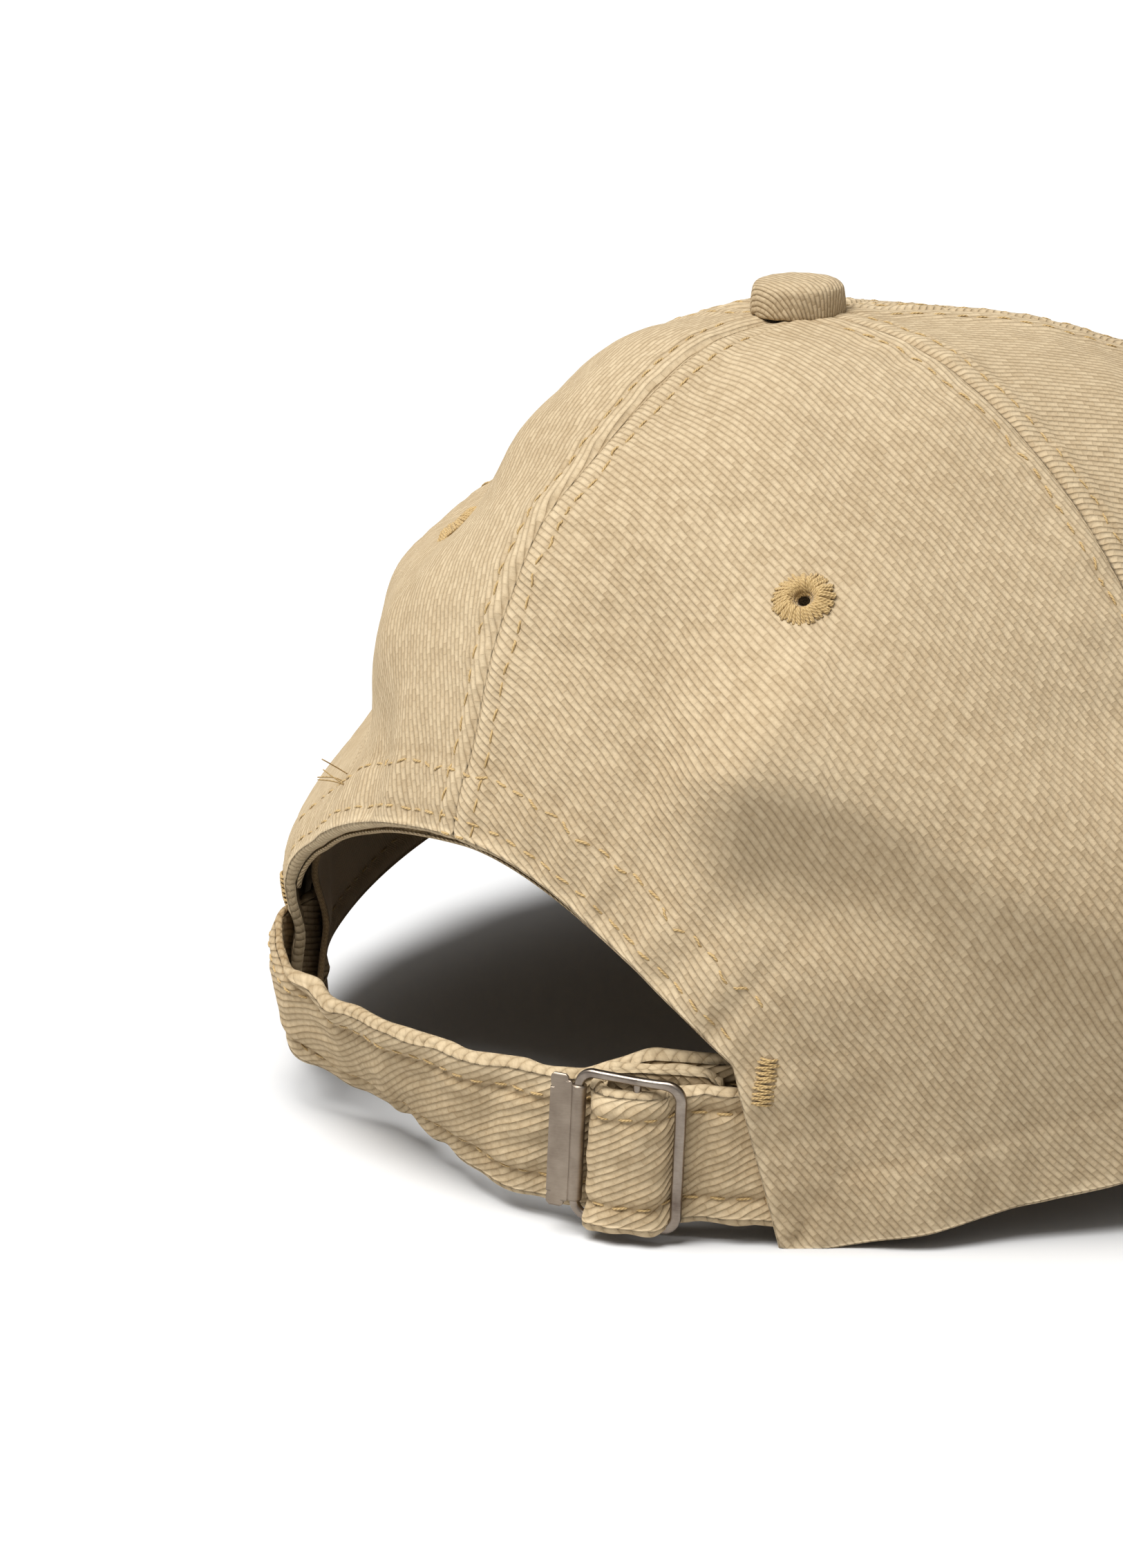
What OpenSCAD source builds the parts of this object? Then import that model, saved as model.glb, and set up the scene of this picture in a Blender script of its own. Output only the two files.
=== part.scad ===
// Soft six-panel baseball cap, at rest on a flat surface.
// Millimetres. +Z up, the visor points to -Y, the strap opening faces +Y, and the
// wearer's left is +X. The origin is on the resting surface, under the crown.

/* [Crown] */
// Half of the crown's width at the hem, ear to ear
half_width = 77; // [70:1:86]
// Half of the crown's length at the hem, front to back
half_length = 95; // [88:1:104]
// Height of the crown's top above the resting surface
crown_height = 95; // [88:1:112]
// How far the slumped top sits behind the middle
apex_back = 30; // [10:1:36]
// Height of the hem at the centre front, where the visor's sides prop it up
front_lift = 26; // [20:1:30]
// Fullness of the crown's back, where it bulges over the opening
back_fullness = 3; // [2.2:0.1:3.2]
// Fullness of the crown's soft left side
left_fullness = 1.9; // [1.7:0.1:2.6]
// Fullness of the crown's right side
right_fullness = 2.5; // [1.9:0.1:2.8]
// Fullness of the front, which slopes down to the visor
front_fullness = 1.6; // [1.5:0.1:2.4]
// Roundness of the crown's top
top_fullness = 1.5; // [1.4:0.1:1.8]
// Thickness of the washed cotton twill with its folded seams
cloth = 0.9; // [0.6:0.1:1]
// How far the back hem curls in under the fullest part
back_tuck = 5; // [0:0.5:7]
// How far the soft crown is turned to the wearer's left at the back, in degrees
back_turn = 5; // [0:1:8]

/* [Back opening] */
// Left half of the opening's width, in degrees round the hem
open_left = 34; // [28:1:38]
// Right half of the opening's width, in degrees round the hem
open_right = 30; // [26:1:34]
// How far the panels' free ends slant outwards to the hem, in degrees
end_slant = 3.5; // [0:0.5:5]
// Height of the arch's top above the hem
arch_height = 42.5; // [36:0.5:50]
// Height of the panels' free ends beside the strap
end_height = 22; // [21.5:0.5:26]

/* [Visor] */
// How far the visor stands out at its middle
visor_length = 68; // [55:1:75]
// Half of the visor's root, in degrees round the front hem
visor_half = 62; // [54:1:66]
// Thickness of the visor's stiffening board
board_thick = 1.8; // [1.4:0.1:2.2]

/* [Strap and buckle] */
// Width of the adjusting strap
strap_wide = 15; // [14:0.5:15.5]
// Thickness of the folded and stitched strap
strap_thick = 0.8; // [0.6:0.1:0.8]
// Length of the buckle's frame along the strap
frame_long = 13.4; // [13:0.2:15]
// Height of the buckle's frame across the strap
frame_high = 18.8; // [18.6:0.2:20]
// Diameter of the frame's bars
bar_dia = 1.3; // [1.2:0.1:1.4]
// Place of the buckle round the hem, in degrees from the middle of the back
buckle_turn = -16; // [-17:0.5:-12]
// How far the buckle is turned in its own plane, in degrees
buckle_roll = 4; // [-2:0.5:4]

/* [Button and eyelets] */
// Diameter of the cloth-covered top button
button_dia = 11.4; // [10.8:0.2:14]
// Height of the button's dome
button_high = 3; // [2.4:0.2:4]
// Outer diameter of a stitched vent eyelet
eyelet_dia = 7; // [6.4:0.2:9]
// Diameter of a vent eyelet's hole
eyelet_hole = 2.4; // [2:0.2:3]
// Height of the eyelets on the crown, as an angle of its curve
eyelet_rise = 54; // [44:1:57]

/* [Hidden] */
// Seam directions, in degrees round the hem from the back towards the wearer's left
seam_back = back_turn;
seam_left_back = 72;
seam_left_front = 126;
seam_front = 180;
seam_right_front = -121;
seam_right_back = -66;
// Radius of the opening under the button, where the rivet goes through
rivet_hole = 2;
// Height over which the back hem curls in
tuck_height = 28;
// Layers inside the crown, as distances in from its outer face
layer_gap = 0.1;
cloth_gap = 0.25;
strap_in = cloth+cloth_gap;
tape_in = cloth+0.3;
tape_thick = 0.5;
tape_wide = 10;
band_in = strap_in+strap_thick+0.6;
band_thick = 0.7;
band_low = 0.8;
band_high = 30;
// The sweatband stands this much further in where the strap's tail is tucked behind it
tuck_room = 1.9;
tail_in = strap_in+2*(strap_thick+layer_gap);
// Heights of the strap's edges above the hem
strap_low = 3.4;
strap_high = strap_low+strap_wide;
strap_mid = (strap_low+strap_high)/2;
// The buckle's frame lies this far outside the crown's face
frame_out = 1.2;
// Grid steps of the panels
panel_cols = 17;
panel_rows = 20;

// ---- the crown's surface ----
apex = [0, apex_back];
// The back of the hem lies flat, and the rest climbs to the front, more quickly at first
flat_back = (1-cos(32))/2;
hem_bend = 0.7;
function hem_rise(p) = front_lift*pow(max(0, (1-cos(p))/2-flat_back)/(1-flat_back), hem_bend);
function hem_xy(p, in) = [(half_width-in)*sin(p), (half_length-in)*cos(p)];
function tuck(p, z) =
  back_tuck*pow(max(0, cos(p-back_turn)), 2)*pow(max(0, 1-z/tuck_height), 2);
function fullness(p) = cos(p)*cos(p)*(cos(p) > 0 ? back_fullness : front_fullness)
  +sin(p)*sin(p)*(sin(p) > 0 ? left_fullness : right_fullness);
// Point of the shell: p goes round the hem, t climbs the curve, in is the depth below the face
function shell(p, t, in) =
  let (e = hem_xy(p, in),
       z = (crown_height-in-hem_rise(p))*pow(sin(t), 2/top_fullness),
       q = apex+(e-apex)*pow(cos(t), 2/fullness(p)),
       k = tuck(p, z)/norm(e))
  [q.x-k*e.x, q.y-k*e.y, z+hem_rise(p)];
// The curve's angle at height z above the hem
function climb(p, z) = asin(pow(z/(crown_height-hem_rise(p)), top_fullness/2));
function at_height(p, z, in) = shell(p, climb(p, z), in);
function mix(a, b, k) = a+(b-a)*k;
function smooth(k) = let (c = min(1, max(0, k))) c*c*(3-2*c);
// The curve's angle where it is this far from the apex, seen from above
function angle_at(p, radius) = acos(pow(radius/norm(hem_xy(p, 0)-apex), fullness(p)/2));
function top_angle(p) = angle_at(p, rivet_hole);
// Row spacing, finer towards the top
function row_step(v) = 1-pow(1-v, 1.5);
// The arch is round on the left and runs down more evenly on the right
function arch_at(k, power) =
  end_height+(arch_height-end_height)*pow(max(0, 1-pow(k, 1.9)), power);
function arch(p) = p > back_turn ?
  arch_at((p-back_turn)/open_left, 0.5) : arch_at((back_turn-p)/open_right, 1.05);

// ---- solids between two skins: lists of rows of points, seen from outside ----
module sheet_solid(face, back) {
  m = len(face);
  n = len(face[0]);
  o = m*n;
  pts = concat([for (r = face) each r], [for (r = back) each r]);
  quads = [for (i = [0:m-2], j = [0:n-2]) [i*n+j, i*n+j+1, (i+1)*n+j+1, (i+1)*n+j]];
  ends = [for (j = [0:n-2]) [j+1, j, o+j, o+j+1]];
  tops = [for (j = [0:n-2]) let (k = (m-1)*n+j) [k, k+1, o+k+1, o+k]];
  lefts = [for (i = [0:m-2]) [i*n, (i+1)*n, o+(i+1)*n, o+i*n]];
  rights = [for (i = [0:m-2]) let (k = i*n+n-1) [k+n, k, o+k, o+k+n]];
  rims = concat(ends, tops, lefts, rights);
  faces = concat(
    [for (q = quads) [q[0], q[1], q[2]]], [for (q = quads) [q[0], q[2], q[3]]],
    [for (q = quads) [o+q[0], o+q[2], o+q[1]]], [for (q = quads) [o+q[0], o+q[3], o+q[2]]],
    [for (q = rims) [q[0], q[1], q[2]]], [for (q = rims) [q[0], q[2], q[3]]]);
  polyhedron(points = pts, faces = faces, convexity = 6);
}

// ---- panels, each with its vent hole ----
module vented(p) difference() {
  children();
  on_face(p, eyelet_rise, 1) translate([0, 0, -4]) cylinder(h = 5, d = eyelet_hole, $fn = 40);
}
function panel_skin(p0, p1, in) =
  [for (i = [0:panel_rows]) [for (j = [0:panel_cols])
    let (p = mix(p0, p1, j/panel_cols))
    shell(p, top_angle(p)*row_step(i/panel_rows), in)]];
module panel(p0, p1) vented((p0+p1)/2)
  sheet_solid(panel_skin(p0, p1, 0), panel_skin(p0, p1, cloth));

// A back panel's lower edge: the arch, the free end beside the strap, then the hem
back_cols = 26;
arch_share = 0.45;
end_share = 0.65;
function lower_edge(w, side, seam) =
  let (corner = side > 0 ? back_turn+open_left : back_turn-open_right,
       foot = corner+side*end_slant)
  w < arch_share ?
    let (p = mix(back_turn, corner, w/arch_share)) [p, climb(p, arch(p))] :
  w < end_share ?
    let (k = (w-arch_share)/(end_share-arch_share))
    [mix(corner, foot, k), climb(mix(corner, foot, k), end_height*(1-k))] :
    [mix(foot, seam, (w-end_share)/(1-end_share)), 0];
function back_point(w, v, side, seam, in) =
  let (b = lower_edge(w, side, seam), g = row_step(v), top_p = mix(back_turn, seam, w))
  shell(mix(b[0], top_p, g), mix(b[1], top_angle(top_p), g), in);
function back_skin(side, seam, in) =
  [for (i = [0:panel_rows]) [for (j = [0:back_cols])
    back_point(side > 0 ? j/back_cols : 1-j/back_cols, i/panel_rows, side, seam, in)]];
module back_panel(side, seam) vented((back_turn+seam)/2)
  sheet_solid(back_skin(side, seam, 0), back_skin(side, seam, cloth));

module panel_front_left() color([0.80, 0.71, 0.56]) panel(seam_left_front, seam_front);
module panel_front_right() color([0.78, 0.69, 0.54]) panel(-seam_front, seam_right_front);
module panel_side_left() color([0.78, 0.69, 0.54]) panel(seam_left_back, seam_left_front);
module panel_side_right() color([0.80, 0.71, 0.56]) panel(seam_right_front, seam_right_back);
module panel_back_left() color([0.80, 0.71, 0.56]) back_panel(1, seam_left_back);
module panel_back_right() color([0.78, 0.69, 0.54]) back_panel(-1, seam_right_back);

// ---- tapes over the seams, inside ----
tape_rows = 20;
tape_top_radius = 18;
// Point s millimetres to the side of the seam, square to it and on the layer's surface
function tape_point(p, t, s, in) =
  let (c = shell(p, t, in), dp = shell(p+1, t, in)-c, dt = shell(p, t+1, in)-c,
       k = dp*dt/norm(dp)/norm(dt), h = sqrt(1-k*k))
  shell(p+s/h/norm(dp), max(0, t-s*k/h/norm(dt)), in);
function tape_skin(p, t0, t1, in) =
  [for (i = [0:tape_rows]) [for (s = [-1, 0, 1])
    tape_point(p, mix(t0, t1, i/tape_rows), s*tape_wide/2, in)]];
// The tape stops short of the button, where all six meet
function tape_end(p) = angle_at(p, tape_top_radius);
module tape(p, low) {
  t0 = climb(p, low);
  sheet_solid(tape_skin(p, t0, tape_end(p), tape_in),
              tape_skin(p, t0, tape_end(p), tape_in+tape_thick));
}
tape_low = 2;
facing_wide = 8;
module tape_front() color([0.55, 0.46, 0.34]) tape(seam_front, tape_low);
module tape_left_front() color([0.55, 0.46, 0.34]) tape(seam_left_front, tape_low);
module tape_right_front() color([0.55, 0.46, 0.34]) tape(seam_right_front, tape_low);
module tape_left_back() color([0.55, 0.46, 0.34]) tape(seam_left_back, tape_low);
module tape_right_back() color([0.55, 0.46, 0.34]) tape(seam_right_back, tape_low);
module tape_back() color([0.55, 0.46, 0.34]) tape(seam_back, arch_height+facing_wide+1);

// Facing strip inside the arch's edge
facing_cols = 26;
function facing_skin(in) =
  [for (h = [0:2]) [for (j = [0:facing_cols])
    let (p = mix(back_turn-open_right, back_turn+open_left, j/facing_cols))
    at_height(p, arch(p)+h*facing_wide/2, in)]];
module arch_facing() color([0.62, 0.53, 0.40])
  sheet_solid(facing_skin(tape_in), facing_skin(tape_in+tape_thick));

// Sweatband inside the hem, open at the back
band_cols = 60;
band_clear = 1;
band_start = back_turn+open_left+end_slant+band_clear;
band_end = 360+back_turn-open_right-end_slant-band_clear;
function band_inset(p) = band_in+tuck_room*smooth((p-band_end+30)/14);
function band_skin(extra) =
  [for (h = [0:3]) [for (j = [0:band_cols])
    let (p = mix(band_start, band_end, j/band_cols))
    at_height(p, mix(band_low, band_high, h/3), band_inset(p)+extra)]];
module sweatband() color([0.35, 0.29, 0.22]) sheet_solid(band_skin(0), band_skin(band_thick));

// ---- visor: u goes across from -1 to 1, v goes out from the hem ----
visor_cols = 26;
visor_steps = 8;
visor_slope = 0.1;
visor_splay = 0.5;
visor_gap = 0.3;
visor_raise = 2.2;
cover_thick = 0.8;
half_board = board_thick/2;
function reach(u) = visor_length*pow(max(0, 1-pow(abs(u), 2.4)), 0.5);
// The sides droop until they rest, just beside the crown's corners
low_u = 0.82;
visor_drop = hem_rise(180+low_u*visor_half)+visor_raise-half_board-layer_gap-cover_thick;
visor_droop = (visor_drop/reach(low_u)-visor_slope)/(low_u*low_u);
function visor_point(u, v, trim, up) =
  let (p = 180+u*visor_half,
       e = hem_xy(p, -visor_gap),
       d = [visor_splay*half_length*sin(p), half_width*cos(p)],
       s = max(0.5, reach(u)-trim)*v)
  [e.x+s*d.x/norm(d), e.y+s*d.y/norm(d),
   hem_rise(p)+visor_raise-s*(visor_slope+visor_droop*u*u)+up];
function visor_skin(trim, up, wide) =
  [for (i = [0:visor_steps]) [for (j = [0:visor_cols])
    visor_point(-wide*sin(180*j/visor_cols-90), 1-i/visor_steps, trim, up)]];
module visor_layer(trim, low, high, wide)
  sheet_solid(visor_skin(trim, high, wide), visor_skin(trim, low, wide));
module visor_top() color([0.80, 0.71, 0.56])
  visor_layer(0, half_board+layer_gap, half_board+layer_gap+cover_thick, 1);
module visor_board() color([0.25, 0.25, 0.26]) visor_layer(2.5, -half_board, half_board, 0.985);
module visor_under() color([0.76, 0.67, 0.52])
  visor_layer(0, -half_board-layer_gap-cover_thick, -half_board-layer_gap, 1);

// ---- top button ----
rivet_dia = 3;
module on_apex() translate([0, apex_back, crown_height]) children();
module dome(radius, high, steps) polygon(concat([[0, 0]],
  [for (k = [0:steps]) let (a = 90*k/steps) [radius*cos(a), high*pow(sin(a), 0.8)]]));
module button_cover() color([0.82, 0.73, 0.58]) on_apex() rotate_extrude($fn = 48) difference() {
  translate([0, 0.2]) dome(button_dia/2, button_high, 10);
  square([button_dia/2-1, 0.9]);
}
module button_shell() color([0.62, 0.62, 0.60]) on_apex() rotate_extrude($fn = 48)
  translate([rivet_dia/2, 0.2]) square([button_dia/2-1.1-rivet_dia/2, 0.65]);
module button_rivet() color([0.62, 0.62, 0.60]) on_apex() rotate_extrude($fn = 48) {
  translate([0, -2.4]) square([rivet_dia/2-0.05, 3.25]);
  translate([0, -3]) square([5.5, 0.65]);
}

// ---- vent eyelets, one in the middle of each panel ----
function face_normal(p, t) =
  let (c = shell(p, t, 0), n = cross(shell(p, t+1, 0)-c, shell(p+1, t, 0)-c)) n/norm(n);
eyelet_thick = 0.9;
module on_face(p, t, out) {
  n = face_normal(p, t);
  translate(shell(p, t, -out)) rotate([0, acos(n.z), atan2(n.y, n.x)]) children();
}
module eyelet(p) on_face(p, eyelet_rise, 0.15) rotate_extrude($fn = 40)
  translate([eyelet_hole/2, 0]) square([(eyelet_dia-eyelet_hole)/2, eyelet_thick]);
module eyelets() color([0.86, 0.74, 0.50]) {
  eyelet((seam_back+seam_left_back)/2);
  eyelet((seam_left_back+seam_left_front)/2);
  eyelet((seam_left_front+seam_front)/2);
  eyelet((seam_right_front-seam_front)/2);
  eyelet((seam_right_front+seam_right_back)/2);
  eyelet((seam_right_back+seam_back)/2);
}

// Point of a strap, which stays straight across its width: h is 0 at its lower edge, 1 at the top
function strap_point(p, h, in) = mix(at_height(p, strap_low, in), at_height(p, strap_high, in), h);

// ---- the buckle's own axes: x along the strap to the wearer's right, y up, z outwards ----
buckle_at = strap_point(buckle_turn, 0.5, -frame_out);
along_raw = strap_point(buckle_turn-4, 0.5, 0)-strap_point(buckle_turn+4, 0.5, 0);
along = along_raw/norm(along_raw);
up_raw = strap_point(buckle_turn, 1, 0)-strap_point(buckle_turn, 0, 0);
up_flat = up_raw-along*(up_raw*along);
up = up_flat/norm(up_flat);
buckle_z = cross(along, up);
buckle_x = along*cos(buckle_roll)-up*sin(buckle_roll);
buckle_y = up*cos(buckle_roll)+along*sin(buckle_roll);
module on_buckle() translate(buckle_at)
  rotate([atan2(buckle_y.z, buckle_z.z), -asin(buckle_x.z), atan2(buckle_x.y, buckle_x.x)])
    children();
// Degrees round the hem for one millimetre along the strap, near the buckle
deg_per_mm = 8/norm(along_raw);

// Long strap: sewn inside the left end, through the buckle, tail tucked behind the sweatband
strap_rows = 4;
strap_cols = 44;
strap_start = back_turn+open_left+end_slant+7;
strap_end = back_turn-open_right-end_slant-7;
drop_from = buckle_turn+5;
drop_over = 4.5;
function long_inset(p) = mix(strap_in, tail_in, smooth((drop_from-p)/drop_over));
function long_skin(extra) =
  [for (h = [0:strap_rows]) [for (j = [0:strap_cols])
    let (p = mix(strap_end, strap_start, j/strap_cols))
    strap_point(p, h/strap_rows, long_inset(p)+extra)]];
module strap_long() color([0.74, 0.66, 0.51]) sheet_solid(long_skin(0), long_skin(strap_thick));

// Short strap: sewn inside the right end, round the buckle's cross bar and back
bar_x = 0.8;
cross_dia = 1;
loop_r = cross_dia/2+0.34+strap_thick/2;
loop_steps = 10;
short_mid = -frame_out-strap_in-strap_thick/2;
return_mid = short_mid-strap_thick-layer_gap;
right_end_x = (buckle_turn-strap_end-1)/deg_per_mm;
// Centre line in the buckle's x and z, from the panel to the bar, round it and back
short_path = concat(
  [for (k = [0:6]) [mix(right_end_x, bar_x+loop_r+1.2, k/6), short_mid]],
  [for (k = [1:loop_steps]) let (a = -25+250*k/loop_steps)
    [bar_x+loop_r*cos(a), loop_r*sin(a)]],
  [[bar_x-0.4, mix(return_mid, -loop_r, 0.35)], [bar_x+0.5, return_mid+0.12]],
  [for (k = [1:4]) [bar_x+0.5+k*1.8, return_mid]]);
function path_dir(k) =
  let (a = short_path[max(0, k-1)], b = short_path[min(len(short_path)-1, k+1)])
  (b-a)/norm(b-a);
function short_skin(side) =
  [for (h = [0:2]) [for (k = [0:len(short_path)-1])
    let (d = path_dir(k), q = short_path[k]+[-d.y, d.x]*side*strap_thick/2,
         lean = (h/2-0.5)*strap_wide*tan(buckle_roll))
    strap_point(buckle_turn-(q.x+lean)*deg_per_mm, h/2, -frame_out-q.y)]];
module strap_short() color([0.76, 0.68, 0.53]) sheet_solid(short_skin(-1), short_skin(1));

// Bar tacks through the panels' free ends
tack_long = 7;
tack_wide = 1.4;
module tack(p, z) on_face(p, climb(p, z), 0.08)
  translate([-tack_long/2, -tack_wide/2, 0]) cube([tack_long, tack_wide, 0.6]);
module bartacks() color([0.86, 0.74, 0.50]) {
  tack(back_turn-open_right-3.5, end_height-3.5);
  tack(back_turn+open_left+3.5, end_height-3.5);
}

// ---- buckle frame: a round-cornered ring with a round hinge bar and a cross bar ----
corner_r = 2.2;
lever_long = 14;
hinge_x = -(frame_long-bar_dia)/2;
module round_rect(w, h, r) {
  square([w-2*r, h], center = true);
  square([w, h-2*r], center = true);
  for (x = [-1, 1], y = [-1, 1]) translate([x*(w/2-r), y*(h/2-r)]) circle(r, $fn = 32);
}
module buckle_frame() color([0.60, 0.57, 0.52]) on_buckle() {
  difference() {
    translate([0, 0, -bar_dia/2]) linear_extrude(bar_dia) difference() {
      round_rect(frame_long, frame_high, corner_r);
      round_rect(frame_long-2*bar_dia, frame_high-2*bar_dia, corner_r-bar_dia+0.3);
    }
    translate([hinge_x-1, -lever_long/2-0.1, -1]) cube([2, lever_long+0.2, 2]);
  }
  translate([hinge_x, 0, 0]) rotate([90, 0, 0])
    cylinder(h = lever_long+0.6, d = bar_dia, center = true, $fn = 32);
  translate([bar_x, 0, 0]) rotate([90, 0, 0])
    cylinder(h = frame_high-bar_dia, d = cross_dia, center = true, $fn = 32);
}

// ---- clamp lever: a curl round the hinge bar, a flat plate over the strap ----
hinge_play = 0.06;
curl_wall = 0.45;
cam_long = 10;
cam_reach = 1.55;
plate_long = 3.6;
plate_thick = 0.6;
module clamp_lever() color([0.68, 0.65, 0.60]) on_buckle() translate([hinge_x, 0, 0])
  rotate([90, 0, 0]) difference() {
    union() {
      cylinder(h = lever_long, r = bar_dia/2+hinge_play+curl_wall, center = true, $fn = 40);
      translate([-plate_long, 0.25, -lever_long/2]) cube([plate_long, plate_thick, lever_long]);
      translate([-plate_long, 0.25, -lever_long/2-0.6])
        cube([plate_long-1.5, plate_thick, lever_long+1.2]);
      translate([-0.45, -cam_reach, -cam_long/2]) cube([0.9, cam_reach, cam_long]);
    }
    cylinder(h = lever_long+2, r = bar_dia/2+hinge_play, center = true, $fn = 40);
  }

panel_front_left();
panel_front_right();
panel_side_left();
panel_side_right();
panel_back_left();
panel_back_right();
tape_front();
tape_left_front();
tape_right_front();
tape_left_back();
tape_right_back();
tape_back();
arch_facing();
sweatband();
visor_top();
visor_board();
visor_under();
button_cover();
button_shell();
button_rivet();
eyelets();
strap_long();
strap_short();
bartacks();
buckle_frame();
clamp_lever();
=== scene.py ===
"""Looks of a soft cotton baseball cap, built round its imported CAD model.

Lengths in this file are millimetres until a mesh is made. Round the crown, p is the
direction in degrees from the middle of the back towards the wearer's left, and t is the
angle up the crown's curve, from the hem at 0 to the button at 90.
"""
import math

import bpy
import numpy as np
from mathutils import Matrix, Vector
from mathutils.bvhtree import BVHTree


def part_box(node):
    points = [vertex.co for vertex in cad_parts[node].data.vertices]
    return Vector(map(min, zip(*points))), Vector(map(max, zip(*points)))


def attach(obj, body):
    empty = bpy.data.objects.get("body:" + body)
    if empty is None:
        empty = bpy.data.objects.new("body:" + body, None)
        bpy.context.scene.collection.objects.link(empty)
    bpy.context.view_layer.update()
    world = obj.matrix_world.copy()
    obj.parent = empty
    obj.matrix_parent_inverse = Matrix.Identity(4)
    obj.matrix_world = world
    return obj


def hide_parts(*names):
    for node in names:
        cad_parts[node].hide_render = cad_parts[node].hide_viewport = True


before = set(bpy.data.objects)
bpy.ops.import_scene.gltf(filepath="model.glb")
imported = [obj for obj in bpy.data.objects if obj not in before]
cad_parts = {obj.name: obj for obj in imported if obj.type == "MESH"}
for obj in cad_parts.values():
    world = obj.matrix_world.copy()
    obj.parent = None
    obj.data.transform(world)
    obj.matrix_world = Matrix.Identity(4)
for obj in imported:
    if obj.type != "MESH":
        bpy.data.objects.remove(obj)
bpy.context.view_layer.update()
MM = 0.001
RNG = np.random.default_rng(7)


def edge(node, axis, side):
    """A face of a CAD node's box, in millimetres."""
    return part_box(node)[side][axis] / MM


# ---- sizes that the frame gives ----
HALF_W = edge("panel_side_left", 0, 1)
HALF_L = -edge("panel_front_left", 1, 0)
APEX = np.array([0.0, (edge("button_rivet", 1, 0) + edge("button_rivet", 1, 1)) / 2])
TOP = edge("panel_back_left", 2, 1)
STRAP_LOW = edge("strap_long", 2, 0)
BUTTON_R = (edge("button_cover", 0, 1) - edge("button_cover", 0, 0)) / 2

# ---- the crown's rule, as the CAD has it but for the eased start of the hem's rise ----
BACK_N, LEFT_N, RIGHT_N, FRONT_N, TOP_N = 3.0, 1.9, 2.5, 1.6, 1.5
LIFT, EASE = 26.0, 0.01
TUCK, TUCK_H = 5.0, 28.0
TURN = 5.0
OPEN_LEFT, OPEN_RIGHT, SLANT = 34.0, 30.0, 3.5
ARCH_TOP, END_H = 42.5, 22.0
TOP_T = 89.1
EYELET_T, EYELET_R = 54.0, 3.5
SEAMS = {"back": TURN, "left_back": 72.0, "left_front": 126.0, "front": 180.0,
         "right_front": 239.0, "right_back": 294.0}
STRAP_HIGH = STRAP_LOW + 15.0
BUCKLE_P, BUCKLE_ROLL, FRAME_OUT = -16.0, 4.0, 1.2
FRAME_W, FRAME_H, BAR = 13.4, 18.8, 1.3
CROSS_X, HINGE_X = 0.8, -6.05
BAND_LOW, BAND_HIGH = 0.8, 30.0
VISOR_LONG, VISOR_HALF, BOARD = 68.0, 62.0, 1.8


def cosd(a):
    return np.cos(np.radians(a))


def sind(a):
    return np.sin(np.radians(a))


def smooth(k):
    k = np.clip(k, 0, 1)
    return k * k * (3 - 2 * k)


def bell(x, width):
    return np.exp(-(x / width) ** 2)


def mix(a, b, k):
    return a + (b - a) * k


def unit(v):
    return v / np.maximum(np.linalg.norm(v, axis=-1, keepdims=True), 1e-9)


def hem_rise(p):
    """Height of the hem off the floor, eased where it leaves it so that no crease forms."""
    flat = (1 - cosd(32)) / 2
    k = np.maximum(0, (1 - cosd(p)) / 2 - flat) / (1 - flat)
    return LIFT * k * k * ((1 + EASE) / (k + EASE)) ** 1.3


def hem_xy(p, depth=0.0):
    """The hem's oval, or one inside it."""
    return np.stack([(HALF_W - depth) * sind(p), (HALF_L - depth) * cosd(p)], -1)


def fullness(p):
    """The power of the crown's curve: a higher one is fuller."""
    c, s = cosd(p), sind(p)
    return c * c * np.where(c > 0, BACK_N, FRONT_N) + s * s * np.where(s > 0, LEFT_N, RIGHT_N)


def climb(p, z):
    """The angle t at which the crown is z above the hem."""
    return np.degrees(np.arcsin(np.clip(z / (TOP - hem_rise(p)), 0, 1) ** (TOP_N / 2)))


def crown(p, t, depth=0.0):
    """Points of the crown before any slump: depth is the distance in from the face."""
    p, t, depth = np.broadcast_arrays(np.asarray(p, float), np.asarray(t, float), depth)
    e = hem_xy(p, depth)
    rise = hem_rise(p)
    z = (TOP - depth - rise) * np.power(np.maximum(sind(t), 0), 2 / TOP_N)
    q = APEX + (e - APEX) * np.power(np.maximum(cosd(t), 0), 2 / fullness(p))[..., None]
    back = np.maximum(0, cosd(p - TURN)) ** 2
    k = TUCK * back * np.maximum(0, 1 - z / TUCK_H) ** 2
    q = q - unit(e) * k[..., None]
    return np.concatenate([q, (z + rise)[..., None]], -1)


def crown_normal(p, t, step=0.5):
    t = np.minimum(t, 89 - step)
    c = crown(p, t)
    up = crown(p, t + step) - c
    side = crown(p + step, t) - c
    return unit(np.cross(up, side))


def arch(p):
    """Height of the opening's edge: round on the left, more even on the right."""
    left = np.maximum(0, 1 - np.abs((p - TURN) / OPEN_LEFT) ** 1.9) ** 0.5
    right = np.maximum(0, 1 - np.abs((TURN - p) / OPEN_RIGHT) ** 1.9) ** 1.05
    return END_H + (ARCH_TOP - END_H) * np.where(p > TURN, left, right)


def at_height(p, z, depth=0.0):
    return crown(p, climb(p, z), depth)


def strap_point(p, h, depth):
    """A strap's surface, straight across its width: h is 0 at the lower edge, 1 at the top."""
    p, h, depth = np.broadcast_arrays(np.asarray(p, float), h, depth)
    return mix(at_height(p, STRAP_LOW, depth), at_height(p, STRAP_HIGH, depth), h[..., None])


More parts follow.
